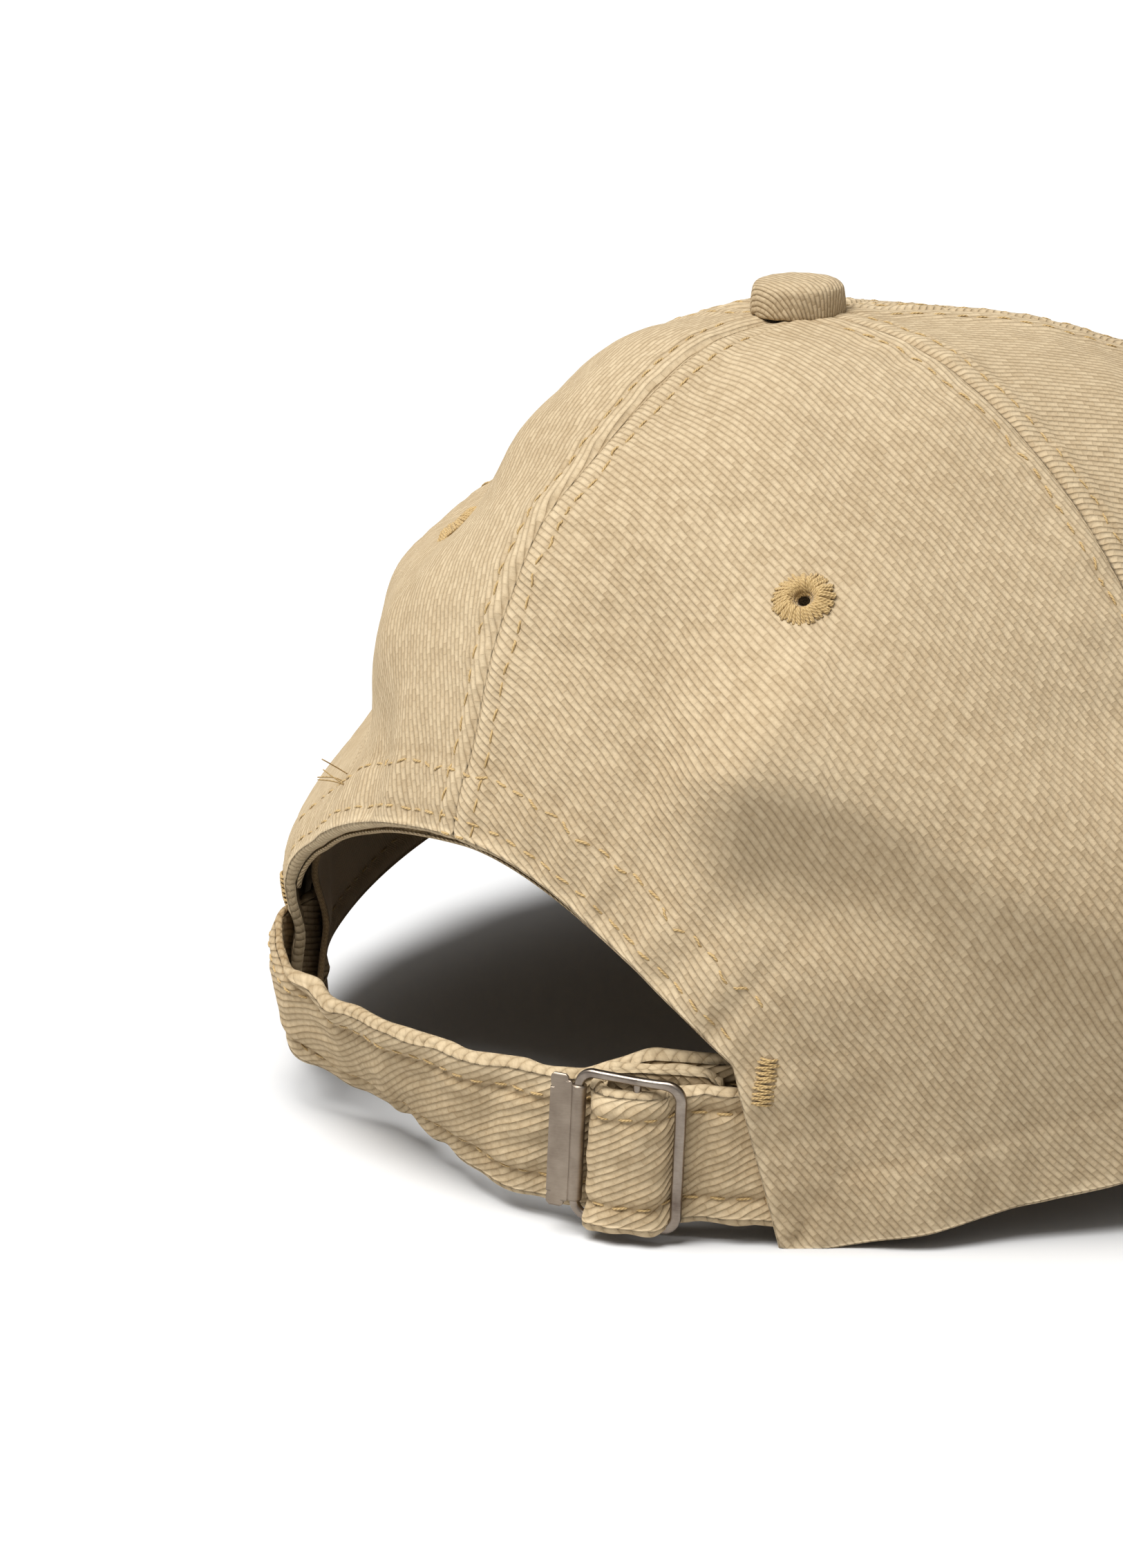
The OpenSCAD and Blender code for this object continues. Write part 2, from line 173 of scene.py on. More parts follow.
# ---- noise without textures: sums of seeded waves ----
def waves(seed, scale, count=9):
    r = np.random.default_rng(seed)
    ang = r.uniform(0, 2 * np.pi, count)
    k = r.uniform(0.6, 1.6, count) * 2 * np.pi / scale
    ph = r.uniform(0, 2 * np.pi, count)
    vz = r.uniform(-1, 1, count)
    dirs = np.stack([np.cos(ang), np.sin(ang), vz], -1) * k[:, None]

    def f(pts):
        return np.sin(pts @ dirs.T + ph).sum(-1) / math.sqrt(count)
    return f


# ---- mesh building ----
def make(name, verts, faces, mat, uv, attrs=None):
    """One smooth mesh object, with its cloth coordinates and per-point values."""
    me = bpy.data.meshes.new(name)
    me.from_pydata((np.asarray(verts) * MM).tolist(), [], [list(map(int, f)) for f in faces])
    layer = me.uv_layers.new(name="cloth_mm")
    idx = np.empty(len(me.loops), np.int32)
    me.loops.foreach_get("vertex_index", idx)
    layer.data.foreach_set("uv", np.asarray(uv, np.float32)[idx].ravel())
    for key, val in (attrs or {}).items():
        a = me.attributes.new(key, "FLOAT", "POINT")
        a.data.foreach_set("value", np.asarray(val, np.float32).ravel())
    me.materials.append(mat)
    me.validate()
    me.shade_smooth()
    return place(name, me)


def place(name, data):
    ob = bpy.data.objects.new(name, data)
    bpy.context.scene.collection.objects.link(ob)
    return ob


def declare(ob, body="cap", replaced=None):
    """Say what a piece rides on, and hide the CAD node it stands for."""
    if replaced:
        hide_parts(replaced)
    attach(ob, body)


def grid_faces(m, n, start=0, flip=False):
    i, j = np.meshgrid(np.arange(m - 1), np.arange(n - 1), indexing="ij")
    a = start + i * n + j
    q = np.stack([a, a + n, a + n + 1, a + 1], -1).reshape(-1, 4)
    return q[:, ::-1] if flip else q


def tube_faces(n, sides, start=0, closed=False):
    """Quads round a tube of n rings, with a cap at each end unless it closes on itself."""
    i, j = np.meshgrid(np.arange(n if closed else n - 1), np.arange(sides), indexing="ij")
    a, b = start + i * sides, start + (i + 1) % n * sides
    k = (j + 1) % sides
    faces = np.stack([a + j, a + k, b + k, b + j], -1).reshape(-1, 4).tolist()
    if not closed:
        last = start + (n - 1) * sides
        faces += [list(range(start + sides - 1, start - 1, -1)), list(range(last, last + sides))]
    return faces


def grid_run(g):
    """Millimetres over a grid's own surface: along its rows, and up its columns."""
    across = np.linalg.norm(np.diff(g, axis=1), axis=-1).cumsum(1)
    climbed = np.linalg.norm(np.diff(g, axis=0), axis=-1).cumsum(0)
    return np.stack([np.pad(across, ((0, 0), (1, 0))), np.pad(climbed, ((1, 0), (0, 0)))], -1)


def plane_axes(n):
    """Level and upright directions in the plane across an outward normal."""
    level = unit(np.cross([0, 0, 1.0], n))
    return level, np.cross(n, level)


def grid_normals(g):
    """Outward normals of a grid whose rows climb and columns go to the wearer's left."""
    up = np.gradient(g, axis=0)
    side = np.gradient(g, axis=1)
    return unit(np.cross(up, side))


def rim_loop(m, n):
    """Grid places of the four edges, in order round the grid."""
    a = [(0, j) for j in range(n)] + [(i, n - 1) for i in range(1, m)]
    a += [(m - 1, j) for j in range(n - 2, -1, -1)] + [(i, 0) for i in range(m - 2, 0, -1)]
    return np.array(a)


def shell(name, face, back, mat, uv, attrs=None, bulge=1.0, rings=3, drop=None):
    """A closed sheet between two grids, with rounded edges. drop marks quads to leave out."""
    m, n = face.shape[:2]
    rim = rim_loop(m, n)
    inner = np.clip(rim, 1, [m - 2, n - 2])
    fo, bo = face[rim[:, 0], rim[:, 1]], back[rim[:, 0], rim[:, 1]]
    out = unit(fo - face[inner[:, 0], inner[:, 1]])
    half = (fo - bo) / 2
    r = np.linalg.norm(half, axis=-1, keepdims=True)
    b = bulge if np.isscalar(bulge) else bulge[rim[:, 0], rim[:, 1]][:, None]
    verts = [face.reshape(-1, 3), back.reshape(-1, 3)]
    uvs = [uv.reshape(-1, 2), uv.reshape(-1, 2)]
    ids = rim[:, 0] * n + rim[:, 1]
    prev, count = ids, 2 * m * n
    faces = [grid_faces(m, n, 0, True), grid_faces(m, n, m * n)]
    if drop is not None:
        keep = ~drop[:-1, :-1].ravel()
        faces = [f[keep] for f in faces]
    for k in range(1, rings + 2):
        a = math.pi * k / (rings + 1)
        if k <= rings:
            pts = (fo + bo) / 2 + half * math.cos(a) + out * r * math.sin(a) * b
            verts.append(pts)
            uvs.append(uv[rim[:, 0], rim[:, 1]] + 0.35 * k)
            cur = count + np.arange(len(rim))
            count += len(rim)
        else:
            cur = m * n + ids
        faces.append(np.stack([prev, np.roll(prev, -1), np.roll(cur, -1), cur], -1))
        prev = cur
    allattrs = {}
    for key, val in (attrs or {}).items():
        v = val.ravel()
        allattrs[key] = np.concatenate([v, v] + [v[ids]] * rings)
    return make(name, np.concatenate(verts), np.concatenate(faces), mat,
                np.concatenate(uvs), allattrs)


# ---- materials ----
class Nodes:
    """Short names for adding shader nodes."""

    def __init__(self, name):
        self.mat = bpy.data.materials.new(name)
        self.mat.use_nodes = True
        self.t = self.mat.node_tree
        self.bsdf = self.t.nodes["Principled BSDF"]

    def add(self, kind, **props):
        n = self.t.nodes.new(kind)
        for k, v in props.items():
            setattr(n, k, v)
        return n

    def put(self, value, socket):
        if hasattr(value, "is_output"):
            self.t.links.new(value, socket)
        else:
            socket.default_value = value

    def math(self, op, a, b=0.0, c=0.0):
        n = self.add("ShaderNodeMath", operation=op)
        for v, s in zip((a, b, c), n.inputs):
            self.put(v, s)
        return n.outputs[0]

    def split(self, vec):
        n = self.add("ShaderNodeSeparateXYZ")
        self.put(vec, n.inputs[0])
        return n.outputs[0], n.outputs[1]

    def cloth(self):
        """The cloth's own flat coordinates, in millimetres."""
        return self.add("ShaderNodeUVMap", uv_map="cloth_mm").outputs[0]

    def look(self, colour, normal, **values):
        """Link colour and normal, and set the other values on the shader's own sockets."""
        self.put(colour, self.bsdf.inputs["Base Color"])
        self.put(normal, self.bsdf.inputs["Normal"])
        for key, value in values.items():
            self.bsdf.inputs[key.replace("_", " ")].default_value = value

    def mul(self, a, b):
        return self.math("MULTIPLY", a, b)

    def mad(self, a, b, c):
        """a times b, plus c."""
        return self.math("MULTIPLY_ADD", a, b, c)

    def sub(self, a, b):
        return self.math("SUBTRACT", a, b)

    def noise(self, vec, scale, detail=2.0, rough=0.5, out="Fac"):
        n = self.add("ShaderNodeTexNoise")
        self.put(vec, n.inputs["Vector"])
        n.inputs["Scale"].default_value = scale
        n.inputs["Detail"].default_value = detail
        n.inputs["Roughness"].default_value = rough
        return n.outputs[out]

    def white(self, x, y):
        c = self.add("ShaderNodeCombineXYZ")
        self.put(x, c.inputs[0])
        self.put(y, c.inputs[1])
        n = self.add("ShaderNodeTexWhiteNoise", noise_dimensions="2D")
        self.put(c.outputs[0], n.inputs["Vector"])
        return n.outputs["Value"]

    def attr(self, name):
        return self.add("ShaderNodeAttribute", attribute_name=name).outputs["Fac"]

    def ramp(self, fac, stops):
        n = self.add("ShaderNodeValToRGB")
        self.put(fac, n.inputs["Fac"])
        e = n.color_ramp.elements
        while len(e) < len(stops):
            e.new(0.5)
        for el, (pos, col) in zip(e, stops):
            el.position = pos
            el.color = (*col, 1.0)
        return n.outputs["Color"]

    def bump(self, height, dist, strength=1.0, normal=None):
        n = self.add("ShaderNodeBump")
        n.inputs["Distance"].default_value = dist
        n.inputs["Strength"].default_value = strength
        self.put(height, n.inputs["Height"])
        if normal is not None:
            self.put(normal, n.inputs["Normal"])
        return n.outputs["Normal"]


def srgb(r, g, b):
    def lin(c):
        c /= 255
        return c / 12.92 if c <= 0.04045 else ((c + 0.055) / 1.055) ** 2.4
    return (lin(r), lin(g), lin(b))


WANDER = 0.8


def twill(name, light, dark, angle, pitch=0.78, float_len=1.5):
    """Washed cotton twill: ribs of yarn floats across the cloth's own millimetres."""
    m = Nodes(name)
    uv = m.cloth()
    # the ribs wander by up to WANDER millimetres
    off = m.add("ShaderNodeVectorMath", operation="MULTIPLY_ADD")
    m.put(m.noise(uv, 0.12, out="Color"), off.inputs[0])
    off.inputs[1].default_value = (WANDER, WANDER, 0)
    m.put(uv, off.inputs[2])
    u, v = m.split(off.outputs[0])
    ca, sa = math.cos(math.radians(angle)), math.sin(math.radians(angle))
    d = m.mad(v, sa / pitch, m.mul(u, ca / pitch))
    e = m.mad(v, ca / float_len, m.mul(u, -sa / float_len))
    rib_id = m.math("FLOOR", d)
    rib = m.mul(m.math("PINGPONG", d, 0.5), 2.0)
    rib = m.math("POWER", m.sub(1.0, m.math("POWER", m.sub(1.0, rib), 2.2)), 0.8)
    # each rib's floats start further along than the last rib's
    e2 = m.math("ADD", e, m.mul(rib_id, 0.37))
    cell_id = m.math("FLOOR", e2)
    cell = m.mul(m.math("PINGPONG", e2, 0.5), 2.0)
    cell = m.math("POWER", cell, 0.5)
    speck = m.white(rib_id, cell_id)
    height = m.mul(rib, m.mad(cell, 0.5, 0.5))
    height = m.mad(m.sub(speck, 0.5), 0.25, height)
    fuzz = m.noise(uv, 3.0, 4.0, 0.7)
    broad = m.noise(uv, 0.035, 3.0, 0.55)
    mid = m.noise(uv, 0.3, 3.0, 0.6)
    # painted shade: the colour follows the ribs' height, darker in the grooves between ribs and
    # between floats
    shade = m.mad(height, 0.36, 0.28)
    for part, weight in ((speck, 0.12), (fuzz, 0.55), (mid, 0.08), (broad, 0.5)):
        shade = m.mad(m.sub(part, 0.5), weight, shade)
    shade = m.mad(m.attr("wear"), 0.3, shade)
    # painted shade: darker where the shade attribute marks grooves at seams, stitched rows and the
    # hem band's step
    shade = m.mad(m.attr("shade"), -0.45, shade)
    midc = tuple((a + b) / 2 for a, b in zip(light, dark))
    ribs = m.bump(m.mad(fuzz, 0.35, height), 0.00022, 0.8)
    m.look(m.ramp(shade, [(0.0, dark), (0.5, midc), (1.0, light)]), m.bump(mid, 0.0002, 0.2, ribs),
           Roughness=0.92, Specular_IOR_Level=0.15, Sheen_Weight=0.25, Sheen_Roughness=0.5,
           Sheen_Tint=(*light, 1.0))
    return m.mat


def plain_cloth(name, light, dark, pitch=0.6):
    """Tape or brushed lining: a fine plain weave with uneven dye."""
    m = Nodes(name)
    uv = m.cloth()
    su, sv = (m.math("SINE", m.mul(x, 2 * math.pi / pitch)) for x in m.split(uv))
    weave = m.mad(m.mul(su, sv), 0.5, 0.5)
    fuzz = m.noise(uv, 2.0, 4.0, 0.7)
    broad = m.noise(uv, 0.06, 3.0, 0.5)
    # painted shade: the colour follows the weave's bump, darker in its hollows
    shade = m.mad(weave, 0.35, 0.2)
    shade = m.mad(fuzz, 0.3, shade)
    shade = m.mad(broad, 0.3, shade)
    m.look(m.ramp(shade, [(0.1, dark), (0.9, light)]),
           m.bump(m.mad(fuzz, 0.5, weave), 0.00012, 0.7),
           Roughness=0.93, Specular_IOR_Level=0.12, Sheen_Weight=0.15)
    return m.mat


def thread(name, light, dark):
    """Sewing thread: a two-ply twist along the piece's own direction."""
    m = Nodes(name)
    uv = m.cloth()
    u, v = m.split(uv)
    tw = m.math("ADD", m.mul(u, 14.0), m.mul(v, 9.0))
    ply = m.mad(m.math("SINE", tw), 0.5, 0.5)
    n = m.noise(uv, 1.3, 3.0, 0.6)
    # painted shade: the colour follows the plies' bump, darker between them
    shade = m.mad(ply, 0.35, m.mul(n, 0.6))
    m.look(m.ramp(shade, [(0.1, dark), (0.9, light)]), m.bump(ply, 0.00008, 0.6),
           Roughness=0.7, Specular_IOR_Level=0.3, Sheen_Weight=0.2)
    return m.mat


def satin_metal(name, light, dark, rough=0.34):
    """Plated die-cast or pressed metal: fine brushing, small knocks and a warm film."""
    m = Nodes(name)
    pos = m.add("ShaderNodeTexCoord").outputs["Object"]
    brush = m.add("ShaderNodeMapping")
    m.put(pos, brush.inputs["Vector"])
    brush.inputs["Scale"].default_value = (1.0, 1.0, 9.0)
    fine = m.noise(brush.outputs[0], 900.0, 3.0, 0.6)
    film = m.noise(pos, 260.0, 4.0, 0.6)
    worn = m.mad(film, 0.8, m.mul(fine, 0.2))
    m.look(m.ramp(worn, [(0.25, dark), (0.75, light)]),
           m.bump(m.mad(fine, 0.3, film), 0.00003, 0.6), Metallic=1.0)
    r = m.add("ShaderNodeMapRange")
    m.put(film, r.inputs[0])
    r.inputs[3].default_value = rough - 0.08
    r.inputs[4].default_value = rough + 0.14
    m.put(r.outputs[0], m.bsdf.inputs["Roughness"])
    return m.mat


def board_plastic(name):
    """Dark moulded sheet with a fine grain."""
    m = Nodes(name)
    pos = m.add("ShaderNodeTexCoord").outputs["Object"]
    grain = m.noise(pos, 1800.0, 3.0, 0.6)
    m.look(m.ramp(grain, [(0.3, srgb(40, 40, 42)), (0.7, srgb(62, 62, 64))]),
           m.bump(grain, 0.00005, 0.5), Roughness=0.6)
    return m.mat


BEIGE_L, BEIGE_D = srgb(201, 184, 155), srgb(145, 124, 95)
STRAP_L, STRAP_D = srgb(201, 183, 153), srgb(133, 111, 80)
TWILL = {}


# ---- distances on the cloth ----
def near(pts, line):
    """Distance from each point to a dense line of points, and the nearest one's place."""
    flat = pts.reshape(-1, 3)
    d = np.empty(len(flat))
    k = np.empty(len(flat), int)
    for a in range(0, len(flat), 4000):
        s = flat[a:a + 4000, None, :] - line[None, :, :]
        q = (s * s).sum(-1)
        k[a:a + 4000] = q.argmin(1)
        d[a:a + 4000] = np.sqrt(q.min(1))
    return d.reshape(pts.shape[:-1]), k.reshape(pts.shape[:-1])


def run_length(line):
    return np.concatenate([[0], np.cumsum(np.linalg.norm(np.diff(line, axis=0), axis=1))])


# ---- the slump of the soft crown ----
# direction p, height z, half-widths along p and z, depth in (+) or out (-), millimetres
SLUMP = [(52, 18, 38, 7, 0.7), (52, 28, 38, 7, 0.6), (52, 38, 38, 7, 2.5), (52, 47, 38, 7, 6.0),
         (52, 56, 38, 7, 1.9), (52, 74, 38, 7, 5.6), (52, 83, 38, 7, 1.7), (8, 70, 26, 10, -1.6),
         (8, 82, 26, 7, 1.1), (0, 90, 26, 5, 2.4), (-8, 55, 14, 9, -0.6), (-58, 56, 13, 9, 2.4),
         (-32, 31, 16, 5, -0.5), (-31, 42, 15, 7, 2.5), (-12, 66, 16, 8, 0.8),
         (150, 55, 30, 14, 2.0), (205, 50, 34, 16, 1.6), (262, 48, 26, 13, 1.8),
         (100, 52, 24, 12, 2.2), (-33, 9, 7, 9, 0.9), (-41, 5, 6, 9, -0.9), (-49, 9, 7, 9, 0.9),
         (-57, 5, 7, 9, -0.8), (28, 60, 10, 8, -0.9), (22, 44, 7, 9, 0.9), (16, 52, 6, 12, -0.5)]
# the left free end turns in behind the strap
CURL_IN, CURL_UP = 2.6, 3.0
# the hem's mean radius, which turns degrees into distance along the cloth
HEM_R = 85
# the shoulder: how far out it stands as a whole and at its crest, and its height at each end
SHOULDER_OUT, SHOULDER_CREST, SHOULDER_HIGH, SHOULDER_LOW = 4.2, 6.0, 52.0, 34.0
SHOULDER_END = 86.0


def shoulder(p, z):
    """The fold where the crown's back right turns down, lower towards the side."""
    p = (p + 180) % 360 - 180
    crest = mix(SHOULDER_HIGH, SHOULDER_LOW, smooth((-28 - p) / 32))
    above = SHOULDER_END - crest
    rise = np.minimum(smooth((z - 8) / (crest - 8)), 1 - smooth((z - crest) / above))
    sharp = bell(z - crest, np.where(z < crest, 7.6, above / 2))
    start = 11 + 0.6 * np.maximum(0, z - crest)
    return (smooth((-15 - p) / start) * smooth((p + 80) / 24)
            * (SHOULDER_OUT * rise + SHOULDER_CREST * sharp))


def slump(p, pts):
    """How far in the cloth has sunk at each point."""
    z = pts[..., 2]
    total = -shoulder(np.asarray(p), z)
    for pc, zc, wp, wz, depth in SLUMP:
        s = np.radians((p - pc + 180) % 360 - 180) * HEM_R
        total += depth * bell(s, wp) * bell(z - zc, wz)
    return total


def curl(p, pts):
    """Shift of the panels near the left free end, where the strap pulls them in."""
    k = smooth((p - 30) / 8) * smooth((64 - p) / 18) * smooth((27 - pts[..., 2]) / 9)
    low = smooth((12 - pts[..., 2]) / 12) * k
    inward = -unit(pts * [1, 1, 0]) * (CURL_IN * k)[..., None]
    return inward + np.array([0, 0, CURL_UP]) * low[..., None]


def face_points(p, t, depth=0.0):
    """Points of the slumped crown."""
    pts = crown(p, t, depth)
    return (pts - crown_normal(p, t) * slump(p, pts)[..., None]
            + curl((np.asarray(p) + 180) % 360 - 180, pts))


def face_normal(p, t, step=0.4):
    """Outward normals of the slumped crown, the same from both sides of a seam."""
    up = face_points(p, np.minimum(t + step, TOP_T)) - face_points(p, np.maximum(t - step, 0))
    side = face_points(p + step, t) - face_points(p - step, t)
    return unit(np.cross(up, side))


# ---- panels ----
ROWS, COLS = ((170, 150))
CLOTH, HOLE_R = 1.1, 1.5
# shares of a back panel's columns that reach the arch's corner, and the foot of the free end
ARCH_SHARE, END_SHARE = 0.48, 0.64
PANELS = {}


def row_step(v):
    return 1 - (1 - v) ** 1.35


def domain(name):
    """p and t over a panel's grid: rows climb, columns go towards the wearer's left."""
    v = row_step(np.linspace(0, 1, ROWS))[:, None]
    w = np.linspace(0, 1, COLS)[None, :]
    a, b = PANELS[name]
    if not name.startswith("panel_back"):
        return mix(a, b, w) + 0 * v, TOP_T * v + 0 * w
    side = 1 if name.endswith("left") else -1
    seam = b if side > 0 else a
    w = w if side > 0 else 1 - w
    corner = TURN + (OPEN_LEFT if side > 0 else -OPEN_RIGHT)
    foot = corner + side * SLANT
    s1, s2 = ARCH_SHARE, END_SHARE
    k = np.clip((w - s1) / (s2 - s1), 0, 1)
    pb = np.where(w < s1, mix(TURN, corner, w / s1),
                  np.where(w < s2, mix(corner, foot, k), mix(foot, seam, (w - s2) / (1 - s2))))
    zb = np.where(w < s1, arch(pb), np.where(w < s2, END_H * (1 - k), 0))
    tb = climb(pb, zb)
    # the edge's corners soften away from it, so that the grid has no kinks
    r = np.linspace(0, 1, COLS)[None, :]
    blur = bell(r - r.T, 0.08)
    blur /= blur.sum(1, keepdims=True)

    def eased(f):
        g = f @ blur.T
        g = g + (f[:, :1] - g[:, :1]) * (1 - r) + (f[:, -1:] - g[:, -1:]) * r
        return mix(f, g, smooth(v / 0.3))
    return mix(eased(pb), mix(TURN, seam, w), v), mix(eased(tb), TOP_T, v)


def cloth_uv(pts, middle):
    """Flat millimetres of the cut cloth: across from the panel's middle line, and up it."""
    line = crown(np.full(700, middle), np.linspace(0, TOP_T, 700))
    run = run_length(line)
    tan = unit(np.gradient(line, axis=0))
    d, k = near(pts, line)
    gap = pts - line[k]
    along = (gap * tan[k]).sum(-1)
    side = unit(np.cross(crown_normal(np.full(700, middle), np.linspace(0, TOP_T, 700)), tan))
    sign = np.sign((gap * side[k]).sum(-1))
    across = np.sqrt(np.maximum(d * d - along * along, 0)) * sign
    return np.stack([across, run[k] + along], -1)


def seam_line(p, n=500):
    """A seam from the panels' lower edge up to the button."""
    t = np.linspace(0, TOP_T, n)
    low = climb(p, ARCH_TOP) if p == TURN else 0
    return face_points(np.full(n, p), np.maximum(t, low))


def edge_line(name):
    """A panel's lower edge, hem or arch and free end together."""
    p, t = domain(name)
    pp = np.interp(np.linspace(0, COLS - 1, 900), np.arange(COLS), p[0])
    tt = np.interp(np.linspace(0, COLS - 1, 900), np.arange(COLS), t[0])
    return face_points(pp, tt)


def pucker(k_mm, dist, seed, reach=9.0):
    """Ripples across a seam, uneven along it, that die away from it."""
    r = np.random.default_rng(seed)
    out = 0
    for scale, amp in ((7.3, 0.5), (11.7, 0.45), (4.6, 0.25)):
        out = out + amp * np.sin(k_mm * 2 * np.pi / scale + r.uniform(0, 6.28)
                                 + 1.3 * np.sin(k_mm * 2 * np.pi / (scale * 3.7)))
    return out * np.exp(-dist / reach) * smooth(dist / 1.2) * smooth((26 - dist) / 12)


class Relief:
    """Height over a panel's plain surface, and how worn and how shaded it is there."""

    def __init__(self, pts):
        self.pts = pts
        self.d, self.wear, self.shade = (np.zeros(pts.shape[:-1]) for _ in range(3))

    def seam(self, seam_p):
        """Turned cloth beside a seam, the groove in it, its stitched row and puckers."""
        line = seam_line(TURN if seam_p in (TURN, TURN + 360) else seam_p)
        run = run_length(line)
        dist, k = near(self.pts, line)
        along = run[k]
        low = smooth((run[-1] - along) / 14)
        self.d += 0.34 * smooth((5.2 - dist) / 2.0) * smooth(dist / 1.0) * low
        self.d -= 0.14 * bell(dist, 0.55) * (0.3 + 0.7 * low)
        self.d -= 0.16 * bell(dist - ROW_SEAM, 0.45)
        self.d += 0.2 * pucker(along, dist, int(seam_p * 10) % 3600) * (0.2 + 0.8 * low)
        self.wear += 0.35 * bell(dist - 1.3, 0.8)
        self.wear += 0.3 * bell(dist - 4.4, 0.9) * np.maximum(0, pucker(along, 1.2, 5))
        # painted shade in the seam's groove and in the grooves of its stitched rows
        self.shade += 0.4 * bell(dist, 0.35) + 0.25 * bell(dist - ROW_SEAM, 0.35)

    def edge(self, line, arched):
        """The turned hem or arch; arched is 1 where the facing's two rows are sewn."""
        dist, k = near(self.pts, line)
        self.d += 0.35 * smooth((8.6 - dist) / 1.6)
        self.d += 0.5 * pucker(run_length(line)[k], dist, 91, 10.0)
        self.d -= 0.15 * arched * (bell(dist - ROW_EDGE, 0.45) + bell(dist - ROW_FACING, 0.45))
        self.wear += 0.8 * bell(dist, 0.9)
        # painted shade along the step where the turned band ends
        self.shade += 0.25 * bell(dist - 8.9, 0.5)


def vent_hole(name, face):
    """Marks the quads under the eyelet's thread."""
    pc, tc = eyelet_place(name)
    c = face_points(np.array(pc), np.array(tc))
    hole = np.zeros(face.shape[:2], bool)
    cell = (face[:-1, :-1] + face[1:, 1:]) / 2
    hole[:-1, :-1] = np.linalg.norm(cell - c, axis=-1) < HOLE_R
    return hole


def build_panel(name, mat):
    """One panel; gives its face with its relief, and its plain points."""
    a, b = PANELS[name]
    p, t = domain(name)
    base = crown(p, t)
    pts = face_points(p, t)
    nrm = face_normal(p, t)
    relief = Relief(pts)
    relief.seam(a)
    relief.seam(b)
    arched = np.abs(p - (TURN + 2)) < 36 if name.startswith("panel_back") else 0 * p
    relief.edge(edge_line(name), arched)
    d = relief.d + 0.22 * waves(3, 21.0)(base) + 0.04 * waves(5, 7.0)(base)
    face = pts + nrm * d[..., None]
    back = pts - nrm * CLOTH
    uv = cloth_uv(base, (a + b) / 2)
    ob = shell(name + "_cloth", face, back, mat, uv, {"wear": relief.wear, "shade": relief.shade},
               bulge=0.6, drop=vent_hole(name, face))
    declare(ob, replaced=name)
    return face, pts


def eyelet_place(name):
    a, b = PANELS[name]
    return (a + b) / 2, EYELET_T - (1.0 if name == "panel_back_right" else 0)


def build_panels():
    """All six; gives the crown's surface with its stitched relief, and without."""
    s = SEAMS
    PANELS.update({
        "panel_back_left": (s["back"], s["left_back"]),
        "panel_side_left": (s["left_back"], s["left_front"]),
        "panel_front_left": (s["left_front"], s["front"]),
        "panel_front_right": (s["front"], s["right_front"]),
        "panel_side_right": (s["right_front"], s["right_back"]),
        "panel_back_right": (s["right_back"] - 360, s["back"])})
    faces, smooths, polys, count = [], [], [], 0
    for name in PANELS:
        face, pts = build_panel(name, TWILL["crown"])
        faces.append(face.reshape(-1, 3))
        smooths.append(pts.reshape(-1, 3))
        polys.append(grid_faces(ROWS, COLS, count, True))
        count += ROWS * COLS
    polys = np.concatenate(polys)
    return surface(np.concatenate(faces), polys), surface(np.concatenate(smooths), polys)


def surface(verts, polys):
    return BVHTree.FromPolygons(verts.tolist(), polys.tolist())


# a point inside the crown, which outward normals face away from
MIDDLE = np.array([0.0, 10.0, 20.0])


def snap(tree, pts):
    """Points and outward normals on a surface, nearest to the given ones."""
    got = [tree.find_nearest(Vector(q)) for q in np.reshape(pts, (-1, 3))]
    at = np.array([tuple(g[0]) for g in got]).reshape(np.shape(pts))
    nrm = np.array([tuple(g[1]) for g in got]).reshape(np.shape(pts))
    outward = np.sign(((at - MIDDLE) * nrm).sum(-1, keepdims=True))
    return at, nrm * outward


def resample(line, step):
    run = run_length(line)
    s = np.arange(0, run[-1], step)
    return np.stack([np.interp(s, run, line[:, k]) for k in range(3)], -1)


# ---- thread: many short tubes gathered into one piece, none of it below FLOOR_ROOM ----
FLOOR_ROOM, THREAD_R = 0.04, 0.17


